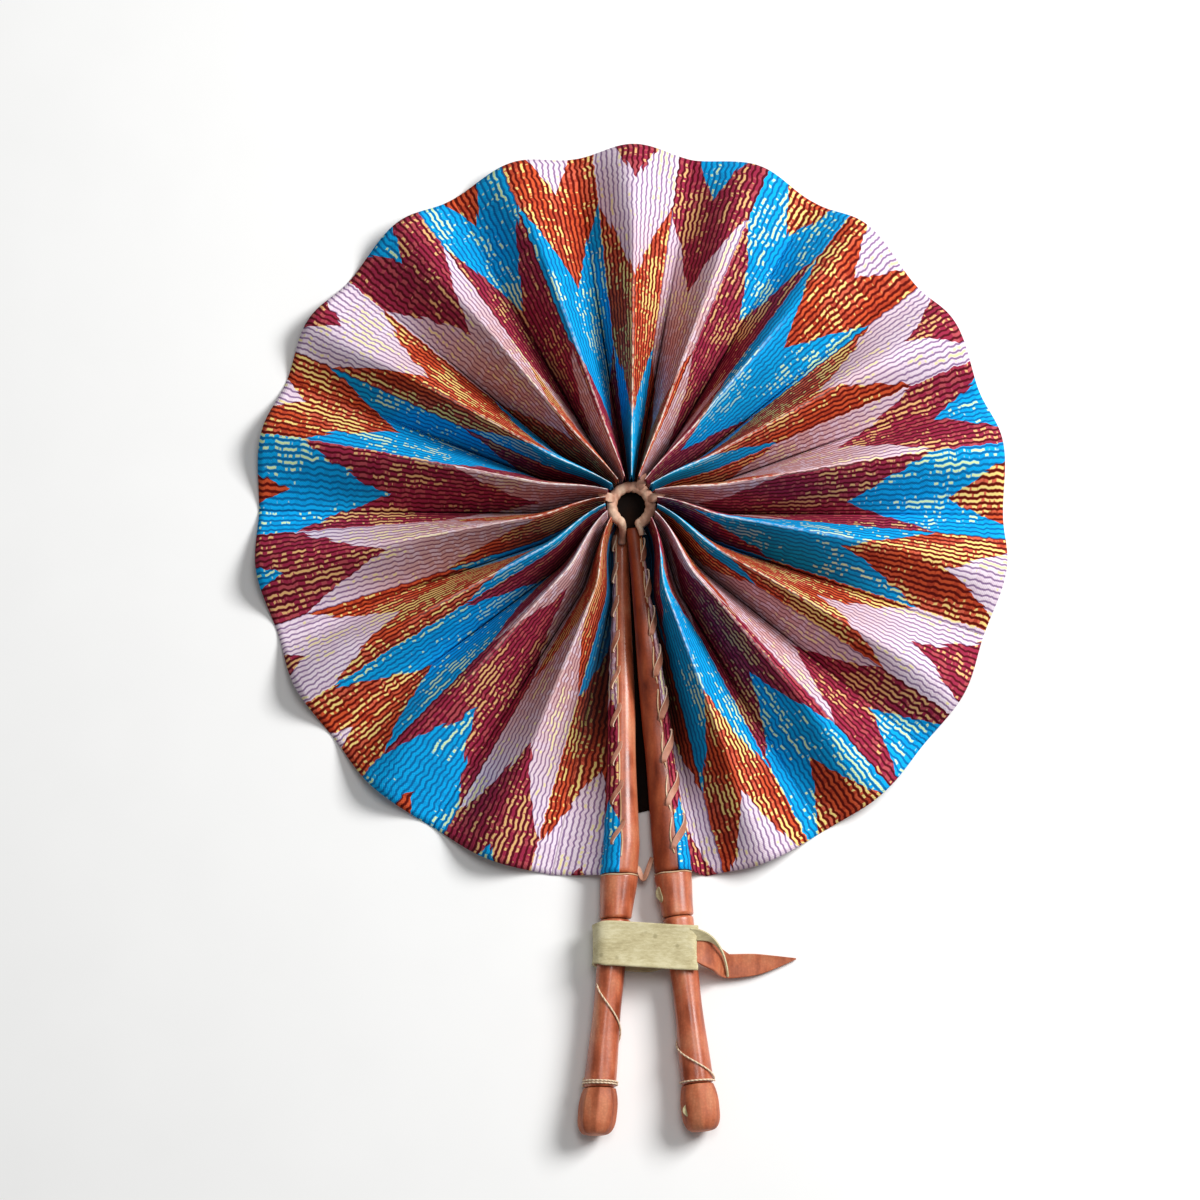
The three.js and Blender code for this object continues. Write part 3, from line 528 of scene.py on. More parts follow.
# %% [markdown]
# ### Weave
# Plain cotton is matt, with a fine weave. The real weave is 0.35 mm and can't show, so it is drawn at
# 0.9 mm, together with the crinkle of the threads.

# %% Weave
WEAVE = 0.9
WEAVE_RATE = 2 * math.pi / WEAVE

weave_turn = node(tree, "Math", {0: strip, 1: WEAVE_RATE}, operation="MULTIPLY")[0]
weave_along = node(tree, "Math", {0: weave_turn}, operation="SINE")[0]
weft_turn = node(tree, "Math", {0: depth, 1: WEAVE_RATE}, operation="MULTIPLY")[0]
weave_across = node(tree, "Math", {0: weft_turn}, operation="SINE")[0]
weave = node(tree, "Math", {0: weave_along, 1: weave_across}, operation="MULTIPLY")[0]
crinkle = node(tree, "Math", {0: line_shape, 1: 3.0, 2: weave}, operation="MULTIPLY_ADD")[0]
bump = node(tree, "Bump", {"Height": crinkle, "Strength": 0.25, "Distance": 0.00025})[0]
tree.links.new(bump, shader.inputs["Normal"])
shader.inputs["Roughness"].default_value = 0.85
shader.inputs["Specular IOR Level"].default_value = 0.15
print("printed cotton:", len(tree.nodes), "nodes")

# %% [markdown]
# ## Leathers
# The handles are covered in thin goatskin, tanned with bark, dyed red-brown and rubbed until it
# shines. Its grain is fine pebbles under a millimetre wide, the dye is cloudy and darker in streaks
# along the stick, and hands have polished it. Thongs and the strap are cut from undyed or raw-sided
# leather, so they are paler, fibrous and matt. Each leather reads object coordinates, so the grain
# keeps its real size on every piece.


# %% How a leather is made
STREAK_LENGTH = 25.0
STREAK_STRETCH = 6.0
CLOUD_SIZE = 11.0
CLOUD_SHARE = 0.4
PEBBLE_TONE = 1.06
PIT_TONE = 0.86
GLOSSIER = 0.08
DULLER = 0.1


def leather(name, base, shade, light, grain_mm, roughness, bump_mm, coat=0.0):
    """Bark-tanned leather: cloudy dye in three tones, streaks along the fan, and a pebbled grain."""
    material, tree, shader = new_material(name)
    here = node(tree, "TexCoord")["Object"]
    stretch = (STREAK_STRETCH, 1.0, STREAK_STRETCH)
    stretched = node(tree, "Mapping", {"Vector": here, "Scale": stretch})[0]
    streak_look = {"Vector": stretched, "Scale": 1 / (STREAK_LENGTH * MM), "Detail": 4.0}
    streaks = node(tree, "TexNoise", streak_look)[0]
    clouds = node(tree, "TexNoise", {"Vector": here, "Scale": 1 / (CLOUD_SIZE * MM), "Detail": 3.0})[0]
    pebbles = node(tree, "TexVoronoi", {"Vector": here, "Scale": 1 / (grain_mm * MM)})[0]
    cloud_part = node(tree, "Math", {0: clouds, 1: CLOUD_SHARE}, operation="MULTIPLY")[0]
    blend = {0: streaks, 1: 1 - CLOUD_SHARE, 2: cloud_part}
    tone = node(tree, "Math", blend, operation="MULTIPLY_ADD")[0]
    dye = node(tree, "ValToRGB", {0: tone}, [(0.37, shade), (0.65, light), (0.5, base)])[0]
    worn = node(tree, "MapRange", {0: pebbles, 1: 0.0, 2: 0.7, 3: PEBBLE_TONE, 4: PIT_TONE})[0]
    mixed = node(tree, "Mix", {0: 1.0, 6: dye, 7: worn}, data_type="RGBA", blend_type="MULTIPLY")[2]
    tree.links.new(mixed, shader.inputs["Base Color"])
    gloss_range = {1: 0.3, 2: 0.7, 3: roughness - GLOSSIER, 4: roughness + DULLER}
    gloss = node(tree, "MapRange", {0: clouds, **gloss_range})[0]
    tree.links.new(gloss, shader.inputs["Roughness"])
    rough = node(tree, "Math", {0: pebbles, 1: -1.0, 2: streaks}, operation="MULTIPLY_ADD")[0]
    bump = node(tree, "Bump", {"Height": rough, "Strength": 0.35, "Distance": bump_mm * MM})[0]
    tree.links.new(bump, shader.inputs["Normal"])
    shader.inputs["Specular IOR Level"].default_value = 0.35
    shader.inputs["Coat Weight"].default_value = coat
    shader.inputs["Coat Roughness"].default_value = 0.22
    return material


# %% [markdown]
# ### The leathers of this fan
# All are one recipe with other dyes, grains and polish: a middle, a dark and a light tone, the width
# of a grain pebble, the roughness, the height of the grain and the weight of a polished coat.

# %% Leather materials
# Rubbed by many hands, so a soft light runs along the grips
goatskin = leather("burnished_goatskin", "#BE6442", "#8E4024", "#D48862",
                   grain_mm=0.9, roughness=0.36, bump_mm=0.08, coat=0.35)
# Its polish is gone, so the knobs and the strap's tail look soft and dry
worn_goatskin = leather("worn_matt_goatskin", "#BC6844", "#94482A", "#CE8660",
                        grain_mm=0.9, roughness=0.6, bump_mm=0.08)
# A darker copy of the goatskin with little shine: painted shade on the right sheath
shaded_goatskin = leather("goatskin_in_painted_shade", "#8A3A1C", "#62220E", "#A6522E",
                        grain_mm=0.9, roughness=0.45, bump_mm=0.08, coat=0.08)
# Never dyed, so the thongs are pale and open-grained
thong_hide = leather("undyed_thong_leather", "#C4927A", "#9C6A50", "#E3C4A8",
                     grain_mm=1.2, roughness=0.6, bump_mm=0.15)
# Near-black hide that hardly gives light back: painted shadow in the ring's hole and the slit between the
# sticks
shadow_hide = leather("black_hide_painted_shadow", "#100704", "#0A0402", "#1A0C06",
                     grain_mm=1.0, roughness=0.85, bump_mm=0.1)
shadow_hide.node_tree.nodes["Principled BSDF"].inputs["Specular IOR Level"].default_value = 0.1
# Cut through, so the pale fibre inside the skin shows
raw_edge = leather("raw_leather_edge", "#D8B48E", "#B88C64", "#EBD2B4",
                   grain_mm=1.0, roughness=0.75, bump_mm=0.15)
skins = (goatskin, worn_goatskin, shaded_goatskin, thong_hide, shadow_hide, raw_edge)
print("leathers:", [skin.name for skin in skins])

# %% [markdown]
# ## Binding cord
# The binding is a thin waxed two-ply cord, so its bump and its tone wind round it.

# %% Cord material
PLY_LENGTH = 1.6

twine, tree, shader = new_material("waxed_two_ply_cord")
place = node(tree, "SeparateXYZ", {0: node(tree, "UVMap", uv_map="flat")[0]})
lay = node(tree, "Math", {0: place[0], 1: 2 * math.pi / (PLY_LENGTH * MM)}, operation="MULTIPLY")[0]
turn = node(tree, "Math", {0: place[1], 1: 2 * math.pi / MM, 2: lay}, operation="MULTIPLY_ADD")[0]
ply = node(tree, "Math", {0: turn}, operation="SINE")[0]
ply_share = node(tree, "MapRange", {0: ply, 1: -1.0, 2: 1.0, 3: 0.0, 4: 1.0})[0]
twine_dye = node(tree, "ValToRGB", {0: ply_share}, [(0.0, "#CDAE8A"), (0.6, "#EAD2B4")])[0]
tree.links.new(twine_dye, shader.inputs["Base Color"])
bump = node(tree, "Bump", {"Height": ply_share, "Strength": 0.6, "Distance": 0.0002})[0]
tree.links.new(bump, shader.inputs["Normal"])
shader.inputs["Roughness"].default_value = 0.6
print("cord ply:", PLY_LENGTH, "mm a turn")

# %% [markdown]
# ## The strap's flesh side
# The strap is split leather worn with the fuzzy flesh side out: pale and greenish, matt, with short
# fibres and small dark nicks.

# %% Flesh side material
FIBRE_LENGTH = 2.4
STAIN_SIZE = 9.0
NICK_SPACING = 6.7

flesh_side, tree, shader = new_material("split_leather_flesh_side")
here = node(tree, "TexCoord")["Object"]
fibres_at = node(tree, "Mapping", {"Vector": here, "Scale": (1.0, 3.0, 2.0)})[0]
fibre_look = {"Vector": fibres_at, "Scale": 1 / (FIBRE_LENGTH * MM), "Detail": 5.0, "Roughness": 0.7}
fibres = node(tree, "TexNoise", fibre_look)[0]
clouds = node(tree, "TexNoise", {"Vector": here, "Scale": 1 / (STAIN_SIZE * MM), "Detail": 3.0})[0]
cloud_part = node(tree, "Math", {0: clouds, 1: 0.5}, operation="MULTIPLY")[0]
fuzz = node(tree, "Math", {0: fibres, 1: 0.5, 2: cloud_part}, operation="MULTIPLY_ADD")[0]
fuzz_tones = [(0.34, "#AC9F78"), (0.62, "#D9D0AB"), (0.5, "#C8BD94")]
fuzz_dye = node(tree, "ValToRGB", {0: fuzz}, fuzz_tones)[0]
nick_look = {"Vector": here, "Scale": 1 / (NICK_SPACING * MM), "Randomness": 1.0}
nicks = node(tree, "TexVoronoi", nick_look)[0]
nick_cover = node(tree, "MapRange", {0: nicks, 1: 0.08, 2: 0.16, 3: 0.55, 4: 0.0})[0]
nicked = node(tree, "Mix", {0: nick_cover, 6: fuzz_dye, 7: colour("#8A7F5C")}, data_type="RGBA")[2]
tree.links.new(nicked, shader.inputs["Base Color"])
bump = node(tree, "Bump", {"Height": fibres, "Strength": 0.5, "Distance": 0.0003})[0]
tree.links.new(bump, shader.inputs["Normal"])
shader.inputs["Roughness"].default_value = 0.92
shader.inputs["Specular IOR Level"].default_value = 0.2
print("flesh side: fibres", FIBRE_LENGTH, "mm long, nicks", NICK_SPACING, "mm apart")

# %% [markdown]
# ## Lace
# The lace is cut from dyed skin, so its two edges are pale. Its flat map runs once round it, and a
# wave with two crests a turn finds the edges.

# %% Lace material
lace_hide = leather("cut_lace_leather", "#B0735A", "#8E5238", "#C89078",
                    grain_mm=1.2, roughness=0.55, bump_mm=0.15)
tree = lace_hide.node_tree
shader = tree.nodes["Principled BSDF"]
skin_tone = shader.inputs["Base Color"].links[0].from_socket
round_it = node(tree, "SeparateXYZ", {0: node(tree, "UVMap", uv_map="flat")[0]})[1]
turn = node(tree, "Math", {0: round_it, 1: 4 * math.pi / MM}, operation="MULTIPLY")[0]
edge_share = node(tree, "Math", {0: turn}, operation="COSINE")[0]
cut_cover = node(tree, "MapRange", {0: edge_share, 1: 0.1, 2: 0.6, 3: 0.0, 4: 0.9})[0]
pale_edged = node(tree, "Mix", {0: cut_cover, 6: skin_tone, 7: colour("#EBCFB4")}, data_type="RGBA")[2]
tree.links.new(pale_edged, shader.inputs["Base Color"])
print("lace:", len(tree.nodes), "nodes")

# %% [markdown]
# ## Whittled sticks
# The sticks are whittled wood that the leather hides, so they keep their solids. Hardwood grain runs
# along them, twelve times longer than it is wide.

# %% Wood material
WOOD_GRAIN = 18.0
WOOD_STRETCH = 12.0

whittled_wood, tree, shader = new_material("whittled_hardwood")
here = node(tree, "TexCoord")["Object"]
stretch = (WOOD_STRETCH, 1.0, WOOD_STRETCH)
grain_at = node(tree, "Mapping", {"Vector": here, "Scale": stretch})[0]
grain = node(tree, "TexNoise", {"Vector": grain_at, "Scale": 1 / (WOOD_GRAIN * MM), "Detail": 5.0})[0]
wood_dye = node(tree, "ValToRGB", {0: grain}, [(0.3, "#7A5330"), (0.7, "#B98C5C")])[0]
tree.links.new(wood_dye, shader.inputs["Base Color"])
bump = node(tree, "Bump", {"Height": grain, "Strength": 0.3, "Distance": 0.0002})[0]
tree.links.new(bump, shader.inputs["Normal"])
shader.inputs["Roughness"].default_value = 0.7
STICKS = ("left_stick", "right_stick")
for stick in STICKS:
    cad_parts[stick].data.materials.clear()
    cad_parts[stick].data.materials.append(whittled_wood)
print("sticks:", len(STICKS))

# %% [markdown]
# ## The pleated leaf
# One strip of cloth, about 870 mm long and 127 mm wide, is folded into seventeen pleats. Its panels
# are equally wide all along, so where the folds crowd together at the hub they have to stand up: the
# ridge height follows from the panel's width and the room between the valleys. A cloth simulation
# could find this, but the geometry of a fold gives it directly. Every pleat is a piece of its own,
# because it turns about the hub with its own body.

# %% Where the folds lie
RIM = 136.5
INNER = 9.4
FIRST_VALLEY = -78.5
LAST_VALLEY = 257.7
LEAF_MIDDLE = 90.0
GATHER = 0.82
GATHER_REACH = 36.0
PITCH = (LAST_VALLEY - FIRST_VALLEY) / PLEATS

valley_drift = JITTER.uniform(-0.8, 0.8, PLEATS + 1)
valley_drift[[0, -1]] = 0
ridge_drift = JITTER.uniform(-0.9, 0.9, PLEATS)
buckle_phase = JITTER.uniform(0, 2 * np.pi, PLEATS)


def fold_angle(degrees, radius):
    """Where a fold lies at a radius: near the hub the folds crowd toward the far side of the ring."""
    away = np.clip((radius - INNER) / (GATHER_REACH - INNER), 0, 1)
    gather = 1 - (1 - GATHER) * (1 - away) ** 2
    return np.radians(LEAF_MIDDLE + (degrees - LEAF_MIDDLE) * gather)


print("fold pitch:", round(PITCH, 2), "degrees")

# %% [markdown]
# ### The form of a pleat
# The creases are pressed sharp, a little rounder near the hub, and the rim hangs in soft waves. The
# panels buckle slightly, and the valleys tuck in under the ring. Each zone where the form changes is
# given as two shares of the way from the hub to the rim.

# %% One pleat
VALLEY_HEIGHT = 0.45
CREASE_RADIUS = 0.75
HUB_CREASE = 1.3
BUCKLE = 0.55
BUCKLE_LENGTH = 8.5
TUCK = 2.5
SCALLOP = 2.2
ROUNDEST_CREASE = 0.4
HUB_CREASE_ZONE = (0.05, 0.35)
ROUND_ZONE = (0.03, 0.1)
WAVE_ZONE = (0.3, 1.1)
TUCK_ZONE = (0.0, 0.09)
SCALLOP_ZONE = (0.55, 1.0)


def pleat_points(index, radius, across):
    """A pleat from valley (across -1) over its ridge (0) to the next valley (1), at each radius.

    The ridge stands as high as a panel reaches that leans over half the pleat's width. Near the hub its
    section is a sharp tent, at the rim a soft wave, and the panels buckle a little between.
    """
    ridge = FIRST_VALLEY + (index + 0.5) * PITCH + ridge_drift[index]
    low = FIRST_VALLEY + index * PITCH + valley_drift[index]
    high = FIRST_VALLEY + (index + 1) * PITCH + valley_drift[index + 1]
    middle = fold_angle(ridge, radius)
    before = middle - fold_angle(low, radius)
    after = fold_angle(high, radius) - middle
    angle = middle + across * np.where(across < 0, before, after)
    half_width = radius * (fold_angle(PITCH / 2, radius) - fold_angle(0, radius))
    rise = np.sqrt(PANEL**2 - half_width**2)
    away = (radius - INNER) / (RIM - INNER)
    crease_radius = CREASE_RADIUS + HUB_CREASE * (1 - smooth(away, *HUB_CREASE_ZONE))
    roundest = ROUNDEST_CREASE + ROUNDEST_CREASE * smooth(away, *ROUND_ZONE)
    crease = np.minimum(crease_radius / half_width, roundest)
    tent = (np.hypot(1, crease) - np.hypot(across, crease)) / (np.hypot(1, crease) - crease)
    wave = (1 + np.cos(np.pi * across)) / 2
    section = tent + (wave - tent) * smooth(away, *WAVE_ZONE)
    ripple = np.sin(radius / BUCKLE_LENGTH + buckle_phase[index])
    buckle = BUCKLE * ripple * np.sin(2 * np.pi * across) * away
    tucked = np.clip(2 * np.abs(across) - 1, 0, 1) * (1 - smooth(away, *TUCK_ZONE))
    scallop = SCALLOP * (wave - 0.5) * smooth(away, *SCALLOP_ZONE)
    reach = radius - TUCK * tucked + scallop
    height = VALLEY_HEIGHT + rise * section + buckle
    return np.stack([reach * np.cos(angle), reach * np.sin(angle), height], axis=-1)


rim_ridge = pleat_points(0, np.array([[RIM]]), np.array([[0.0]]))[0, 0, 2]
print("ridge height at the rim:", round(float(rim_ridge), 1), "mm")

# %% [markdown]
# ### Seventeen pleats
# Each pleat is cloth a quarter of a millimetre thick. Rows of points lie closer together at the hub.

# %% Pleats
CLOTH_THICKNESS = 0.25
LEAF_ROWS = 72
LEAF_COLUMNS = 49
ROW_CROWDING = 1.25


def thicken(piece):
    """Gives a cloth its thickness, on the under side."""
    solidify = piece.modifiers.new("cloth", "SOLIDIFY")
    solidify.thickness = CLOTH_THICKNESS * MM
    solidify.offset = -1
    return piece


leaf_share = np.linspace(0, 1, LEAF_ROWS) ** ROW_CROWDING
leaf_radius = (INNER + (RIM - INNER) * leaf_share)[:, None]
leaf_across = np.linspace(-1, 1, LEAF_COLUMNS)[None, :]
for index in range(PLEATS):
    number = f"{index + 1:02d}"
    points = pleat_points(index, leaf_radius, leaf_across)
    flat_along = np.broadcast_to((index + (leaf_across + 1) / 2) * 2 * PANEL, points.shape[:2])
    flat_in = np.broadcast_to(RIM - leaf_radius, points.shape[:2])
    flat = np.stack([flat_along, flat_in], axis=-1) * MM
    pleat = thicken(surface(f"cloth_pleat_{number}", points, cotton, flat))
    dress(pleat, f"pleat_{number}", "printed_cloth", f"pleat_{number}")
    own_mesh(pleat)
ridge_line = points[:, LEAF_COLUMNS // 2, 2]
print("pleats:", PLEATS, "ridge height at the hub", round(float(ridge_line.max()), 2), "mm")

# %% [markdown]
# ## The two handles
# Each handle is a whittled stick in a leather sheath: thin at the hub, thickest at the rim, with a
# collar, a waisted grip and a knob. Round sections carried along the stick give these forms. The grips
# bow outward, and the right tip lies over the left one.

# %% Handle shapes
WRAP = 1.4
STICK_STOPS = np.array([
    (10.4, 2.4), (82.4, 6.8), (133.0, 10.1), (149.3, 8.1), (179.6, 7.0), (209.6, 8.6),
])
TIP_START = 10.4
TIP_END = 46.4
SHOULDER_END = 82.4
SHEATH_END = 133.0
COLLAR_START = 133.3
COLLAR_END = 149.3
SLEEVE_START = 149.6
SLEEVE_END = 209.6
KNOB_START = 209.9
KNOB_END = 226.4
GRIP_HEIGHT = 7.55
FLATNESS = math.cos(math.pi / 12)
GROUND = 0.02
LEFT_OFFSET = -3.4
BOW_START = 122
BOW_SLOPE = math.tan(math.radians(5.2))

LEFT = {"name": "left", "side": -1, "start": 4.5, "rise": 0.0, "lean": 0.0, "valley": LAST_VALLEY}
RIGHT = {
    "name": "right", "side": 1, "start": 7.0, "rise": 8.12, "lean": math.radians(6.4),
    "valley": FIRST_VALLEY,
}
HANDLES = (LEFT, RIGHT)
print("handles reach", KNOB_END, "mm from the hub")

# %% [markdown]
# ### Points on a handle
# A place on a handle is a distance from the hub, an angle round the stick and a reach from its axis.


# %% Points on a handle
def stick_width(along):
    """Width of the bare stick: S-shaped steps between its stops."""
    last = len(STICK_STOPS) - 2
    index = np.clip(np.searchsorted(STICK_STOPS[:, 0], along, side="right") - 1, 0, last)
    low, high = STICK_STOPS[index], STICK_STOPS[index + 1]
    return low[..., 1] + (high[..., 1] - low[..., 1]) * smooth(along, low[..., 0], high[..., 0])


def axis_height(along, rise):
    """Height of the stick's axis: the bound part rests on the ground, the grip stands clear of it."""
    resting = (stick_width(np.minimum(along, SHEATH_END)) / 2 + WRAP) * FLATNESS
    raised = resting + rise * (1 - smooth(along, TIP_END, SHOULDER_END))
    return raised + (GRIP_HEIGHT - raised) * smooth(along, SHEATH_END, COLLAR_END)


def left_axis(along):
    """How far to the side the left stick's axis lies: beside the hub, and bowing out past the rim."""
    return LEFT_OFFSET - np.maximum(0, along - BOW_START) * BOW_SLOPE


def handle_points(handle, along, angle, reach):
    """Points round a handle: the angle runs from its outer side up over its top."""
    offset = left_axis(along) if handle["side"] < 0 else 0.0
    x = offset + handle["side"] * reach * np.cos(angle)
    y = -along + 0 * x
    z = np.maximum(axis_height(along, handle["rise"]) + reach * np.sin(angle), GROUND)
    cos, sin = math.cos(handle["lean"]), math.sin(handle["lean"])
    return np.stack([x * cos - y * sin, x * sin + y * cos, z], axis=-1)


print("stick at the rim:", float(stick_width(np.array(SHEATH_END))), "mm thick")

# %% [markdown]
# ### Tubes of skin
# Sheath, collar and grip sleeve are tubes of skin with rounded lips. The skin's lapped edge makes a
# small step along the underside.

# %% Tubes of skin
INSIDE_COVER = 0.3
LIP_DROPS = (0.45, 0.12)
SEAM_STEP = 0.3
SEAM_ANGLE = math.radians(232)


def tube_rows(start, end, cover, lip, count):
    """Rows of a leather tube: over its lip, along the outside, round the other lip and back inside."""
    outside = np.linspace(start + lip, end - lip, count)
    inside = np.linspace(end, start, count // 3)
    along = np.concatenate([[start, start + lip / 3], outside, [end - lip / 3, end], inside])
    covers = np.full(len(along), cover)
    covers[[0, len(outside) + 3]] -= LIP_DROPS[0] * cover
    covers[[1, len(outside) + 2]] -= LIP_DROPS[1] * cover
    covers[len(outside) + 4 :] = INSIDE_COVER
    return along[:, None], covers[:, None]


def seam(angle):
    """The lapped skin: it rises slowly all the way round and drops at the seam."""
    return SEAM_STEP * (np.mod(angle - SEAM_ANGLE, 2 * np.pi) / (2 * np.pi) - 0.5)


# %% [markdown]
# ### Leather covers
# Each cover has a start, an end, a thickness and a number of rows, and a sheath starts at its own
# stick's tip. The knife's flats show through the skin on the collars and grips. Two waves round the
# stick stand for them, each with its height, its number and its twist.

# %% Leather covers
LIP = 0.9
COLLAR_COVER = 1.65
FLATS = ((0.07, 5, 14), (0.06, 3, -9))
COVERS = {
    "sheath": (None, SHEATH_END, WRAP, 120),
    "collar": (COLLAR_START, COLLAR_END, COLLAR_COVER, 40),
    "grip_sleeve": (SLEEVE_START, SLEEVE_END, WRAP, 80),
}

around = np.linspace(0, 2 * np.pi, 72, endpoint=False)[None, :]
for handle in HANDLES:
    for part, (start, end, cover, count) in COVERS.items():
        along, covers = tube_rows(handle["start"] if start is None else start, end, cover, LIP, count)
        whittled = sum(rise * np.sin(sides * around + along / twist) for rise, sides, twist in FLATS)
        shown = (seam(around) + whittled * (part != "sheath")) * (covers > 1)
        reach = stick_width(along) / 2 + covers + shown
        points = handle_points(handle, along, around, reach)
        # The right sheath takes the darker goatskin: painted shade
        skin = shaded_goatskin if (handle is RIGHT and part == "sheath") else goatskin
        tube = surface(f"{handle['name']}_leather_{part}", points, skin, around=True, along=True)
        dress(tube, f"{handle['name']}_handle", "handle_leather", f"{handle['name']}_{part}")
print("handle covers:", len(HANDLES) * len(COVERS))

# %% [markdown]
# ## Cut edges and torn chips
# The collar's upper edge was cut with a knife, so a thin pale line of raw leather shows there. On the
# right handle the skin is torn in two places, and small pale chips stand off it.

# %% Cut edges
EDGE_STEPS = np.array([-0.25, 0, 0.35, 0.1])[:, None]
EDGE_COVERS = np.array([1.3, 1.72, 1.78, 1.2])[:, None]
EDGE_SLANT = 0.3
EDGE_NICKS = 0.1

for handle in HANDLES:
    edge_along = COLLAR_START + EDGE_STEPS
    wander = EDGE_SLANT * np.sin(around + 0.4) + EDGE_NICKS * np.sin(5 * around)
    edge_reach = stick_width(edge_along) / 2 + EDGE_COVERS
    points = handle_points(handle, edge_along + wander, around, edge_reach)
    cut = surface(f"{handle['name']}_collar_cut_edge", points, raw_edge, around=True, along=True)
    attach(cut, f"{handle['name']}_handle")
print("cut edges:", len(HANDLES))

# %% [markdown]
# ### Chips
# A chip is an oval flap with an uneven edge, which lifts off at one side.

# %% Chips
CHIP_THICKNESS = 0.4
CHIP_LIFT = 0.25
CHIP_CURL = 0.9
CHIP_RAGGEDNESS = 0.22
CHIPS = {
    "right_collar_chip": {"along": 141.0, "degrees": 152, "length": 5.8, "width": 2.2, "cover": 1.65},
    "right_knob_chip": {"along": 219.0, "degrees": 140, "length": 4.2, "width": 1.5, "cover": 2.2},
}
chip_step = np.linspace(-1, 1, 13)
chip_across, chip_down = np.meshgrid(chip_step, chip_step, indexing="ij")
chip_wave = np.sin(3.1 * chip_across + 1.2 * chip_down + 0.8)
uneven = 1 + CHIP_RAGGEDNESS * chip_wave * np.abs(chip_down)
chip_half = np.sqrt(np.clip(1.02 - chip_across**2, 0.02, 1)) * uneven
chip_lift = CHIP_LIFT + CHIP_CURL * np.clip(chip_down * chip_half, 0, 1) ** 2
for name, chip in CHIPS.items():
    along = chip["along"] + chip_across * chip["length"] / 2
    base = stick_width(np.minimum(along, SLEEVE_END)) / 2 + chip["cover"]
    angle = math.radians(chip["degrees"]) + chip_down * chip_half * chip["width"] / 2 / base
    flap = surface(name, handle_points(RIGHT, along, angle, base + chip_lift), flesh_side)
    shell = flap.modifiers.new("skin", "SOLIDIFY")
    shell.thickness = CHIP_THICKNESS * MM
    attach(flap, "right_handle")
print("chips:", len(CHIPS))

# %% [markdown]
# ## Knobs
# Skin is gathered over the butt of each stick and pressed while wet, so the left knob has eight soft
# facets and the right one is rounder. A polygon whose corners are eased toward a circle gives both.

# %% Knobs
KNOB_SHARES = np.array([0.0, 0.06, 0.2, 0.36, 0.55, 0.72, 0.84, 0.93, 0.985, 1.0])
KNOB_WIDTHS = np.array([11.0, 11.7, 12.8, 13.4, 13.4, 13.1, 12.2, 10.6, 8.4, 6.2])
KNOB_FACETS = 8
FACET_SHARPNESS = {"left": 0.95, "right": 0.45}


def faceted(angle, sides, sharpness):
    """Reach of a polygon's edge over that of a circle, eased by sharpness."""
    step = 2 * np.pi / sides
    edge = 1 / np.cos(np.mod(angle, step) - step / 2)
    return 1 + sharpness * (edge * math.cos(step / 2) ** 0.5 - 1)


knob_line = through(np.stack([KNOB_SHARES, KNOB_WIDTHS], axis=1), 48)
for handle in HANDLES:
    along = (KNOB_START + (KNOB_END - KNOB_START) * knob_line[:, 0])[:, None]
    facets = faceted(around, KNOB_FACETS, FACET_SHARPNESS[handle["name"]])
    points = handle_points(handle, along, around, knob_line[:, 1:] / 2 * facets)
    knob = surface(f"{handle['name']}_leather_knob", points, worn_goatskin, around=True, ends=True)
    dress(knob, f"{handle['name']}_handle", "handle_leather", f"{handle['name']}_knob")
print("knobs:", KNOB_WIDTHS.max(), "mm wide")

# %% [markdown]
# ## The cloth's two ends
# Each end of the leaf laps over the outer half of a sheath and runs down to the first fold. The lap
# stays on its handle, and the panel beside it is a second piece that shares an edge with it. The lap
# is the strip's hem turned over, so it shows another stretch of the print.

# %% How far the cloth laps
LAP_STOPS = {
    "left": ((9.0, 36.0), (30.0, 52.0), (60.0, 66.0), (95.0, 76.0), (133.0, 90.0)),
    "right": ((9.0, 30.0), (30.0, 44.0), (60.0, 54.0), (95.0, 60.0), (133.0, 72.0)),
}
LAP_LOW = math.radians(-5)
LAP_COVER = WRAP + 0.35


def lap_edge(handle, along):
    """How far up a stick the cloth laps: hardly at the hub, up to the top at the left stick's rim."""
    return np.radians(np.interp(along, *zip(*LAP_STOPS[handle["name"]])))


print("cloth laps", round(LAP_COVER, 2), "mm over the bare stick")

# %% [markdown]
# ### Laps and end panels
# A lap is wrapped round the sheath, and a panel is stretched from its edge to the first valley with a
# little sag. Flat places follow from the girth, so the print keeps its size.

# %% Shape of a cloth end
LAP_START = 2.5
RIM_DRAW = 3.5
LAP_RIPPLE = 0.12
SAG = 0.35
HEM_STRIP = 384.9
HEM_DEPTH = 14.0

end_share = np.linspace(0, 1, 64)[:, None]
end_radius = INNER + (RIM - INNER) * end_share
down = np.linspace(0, 1, 20)[None, :, None]


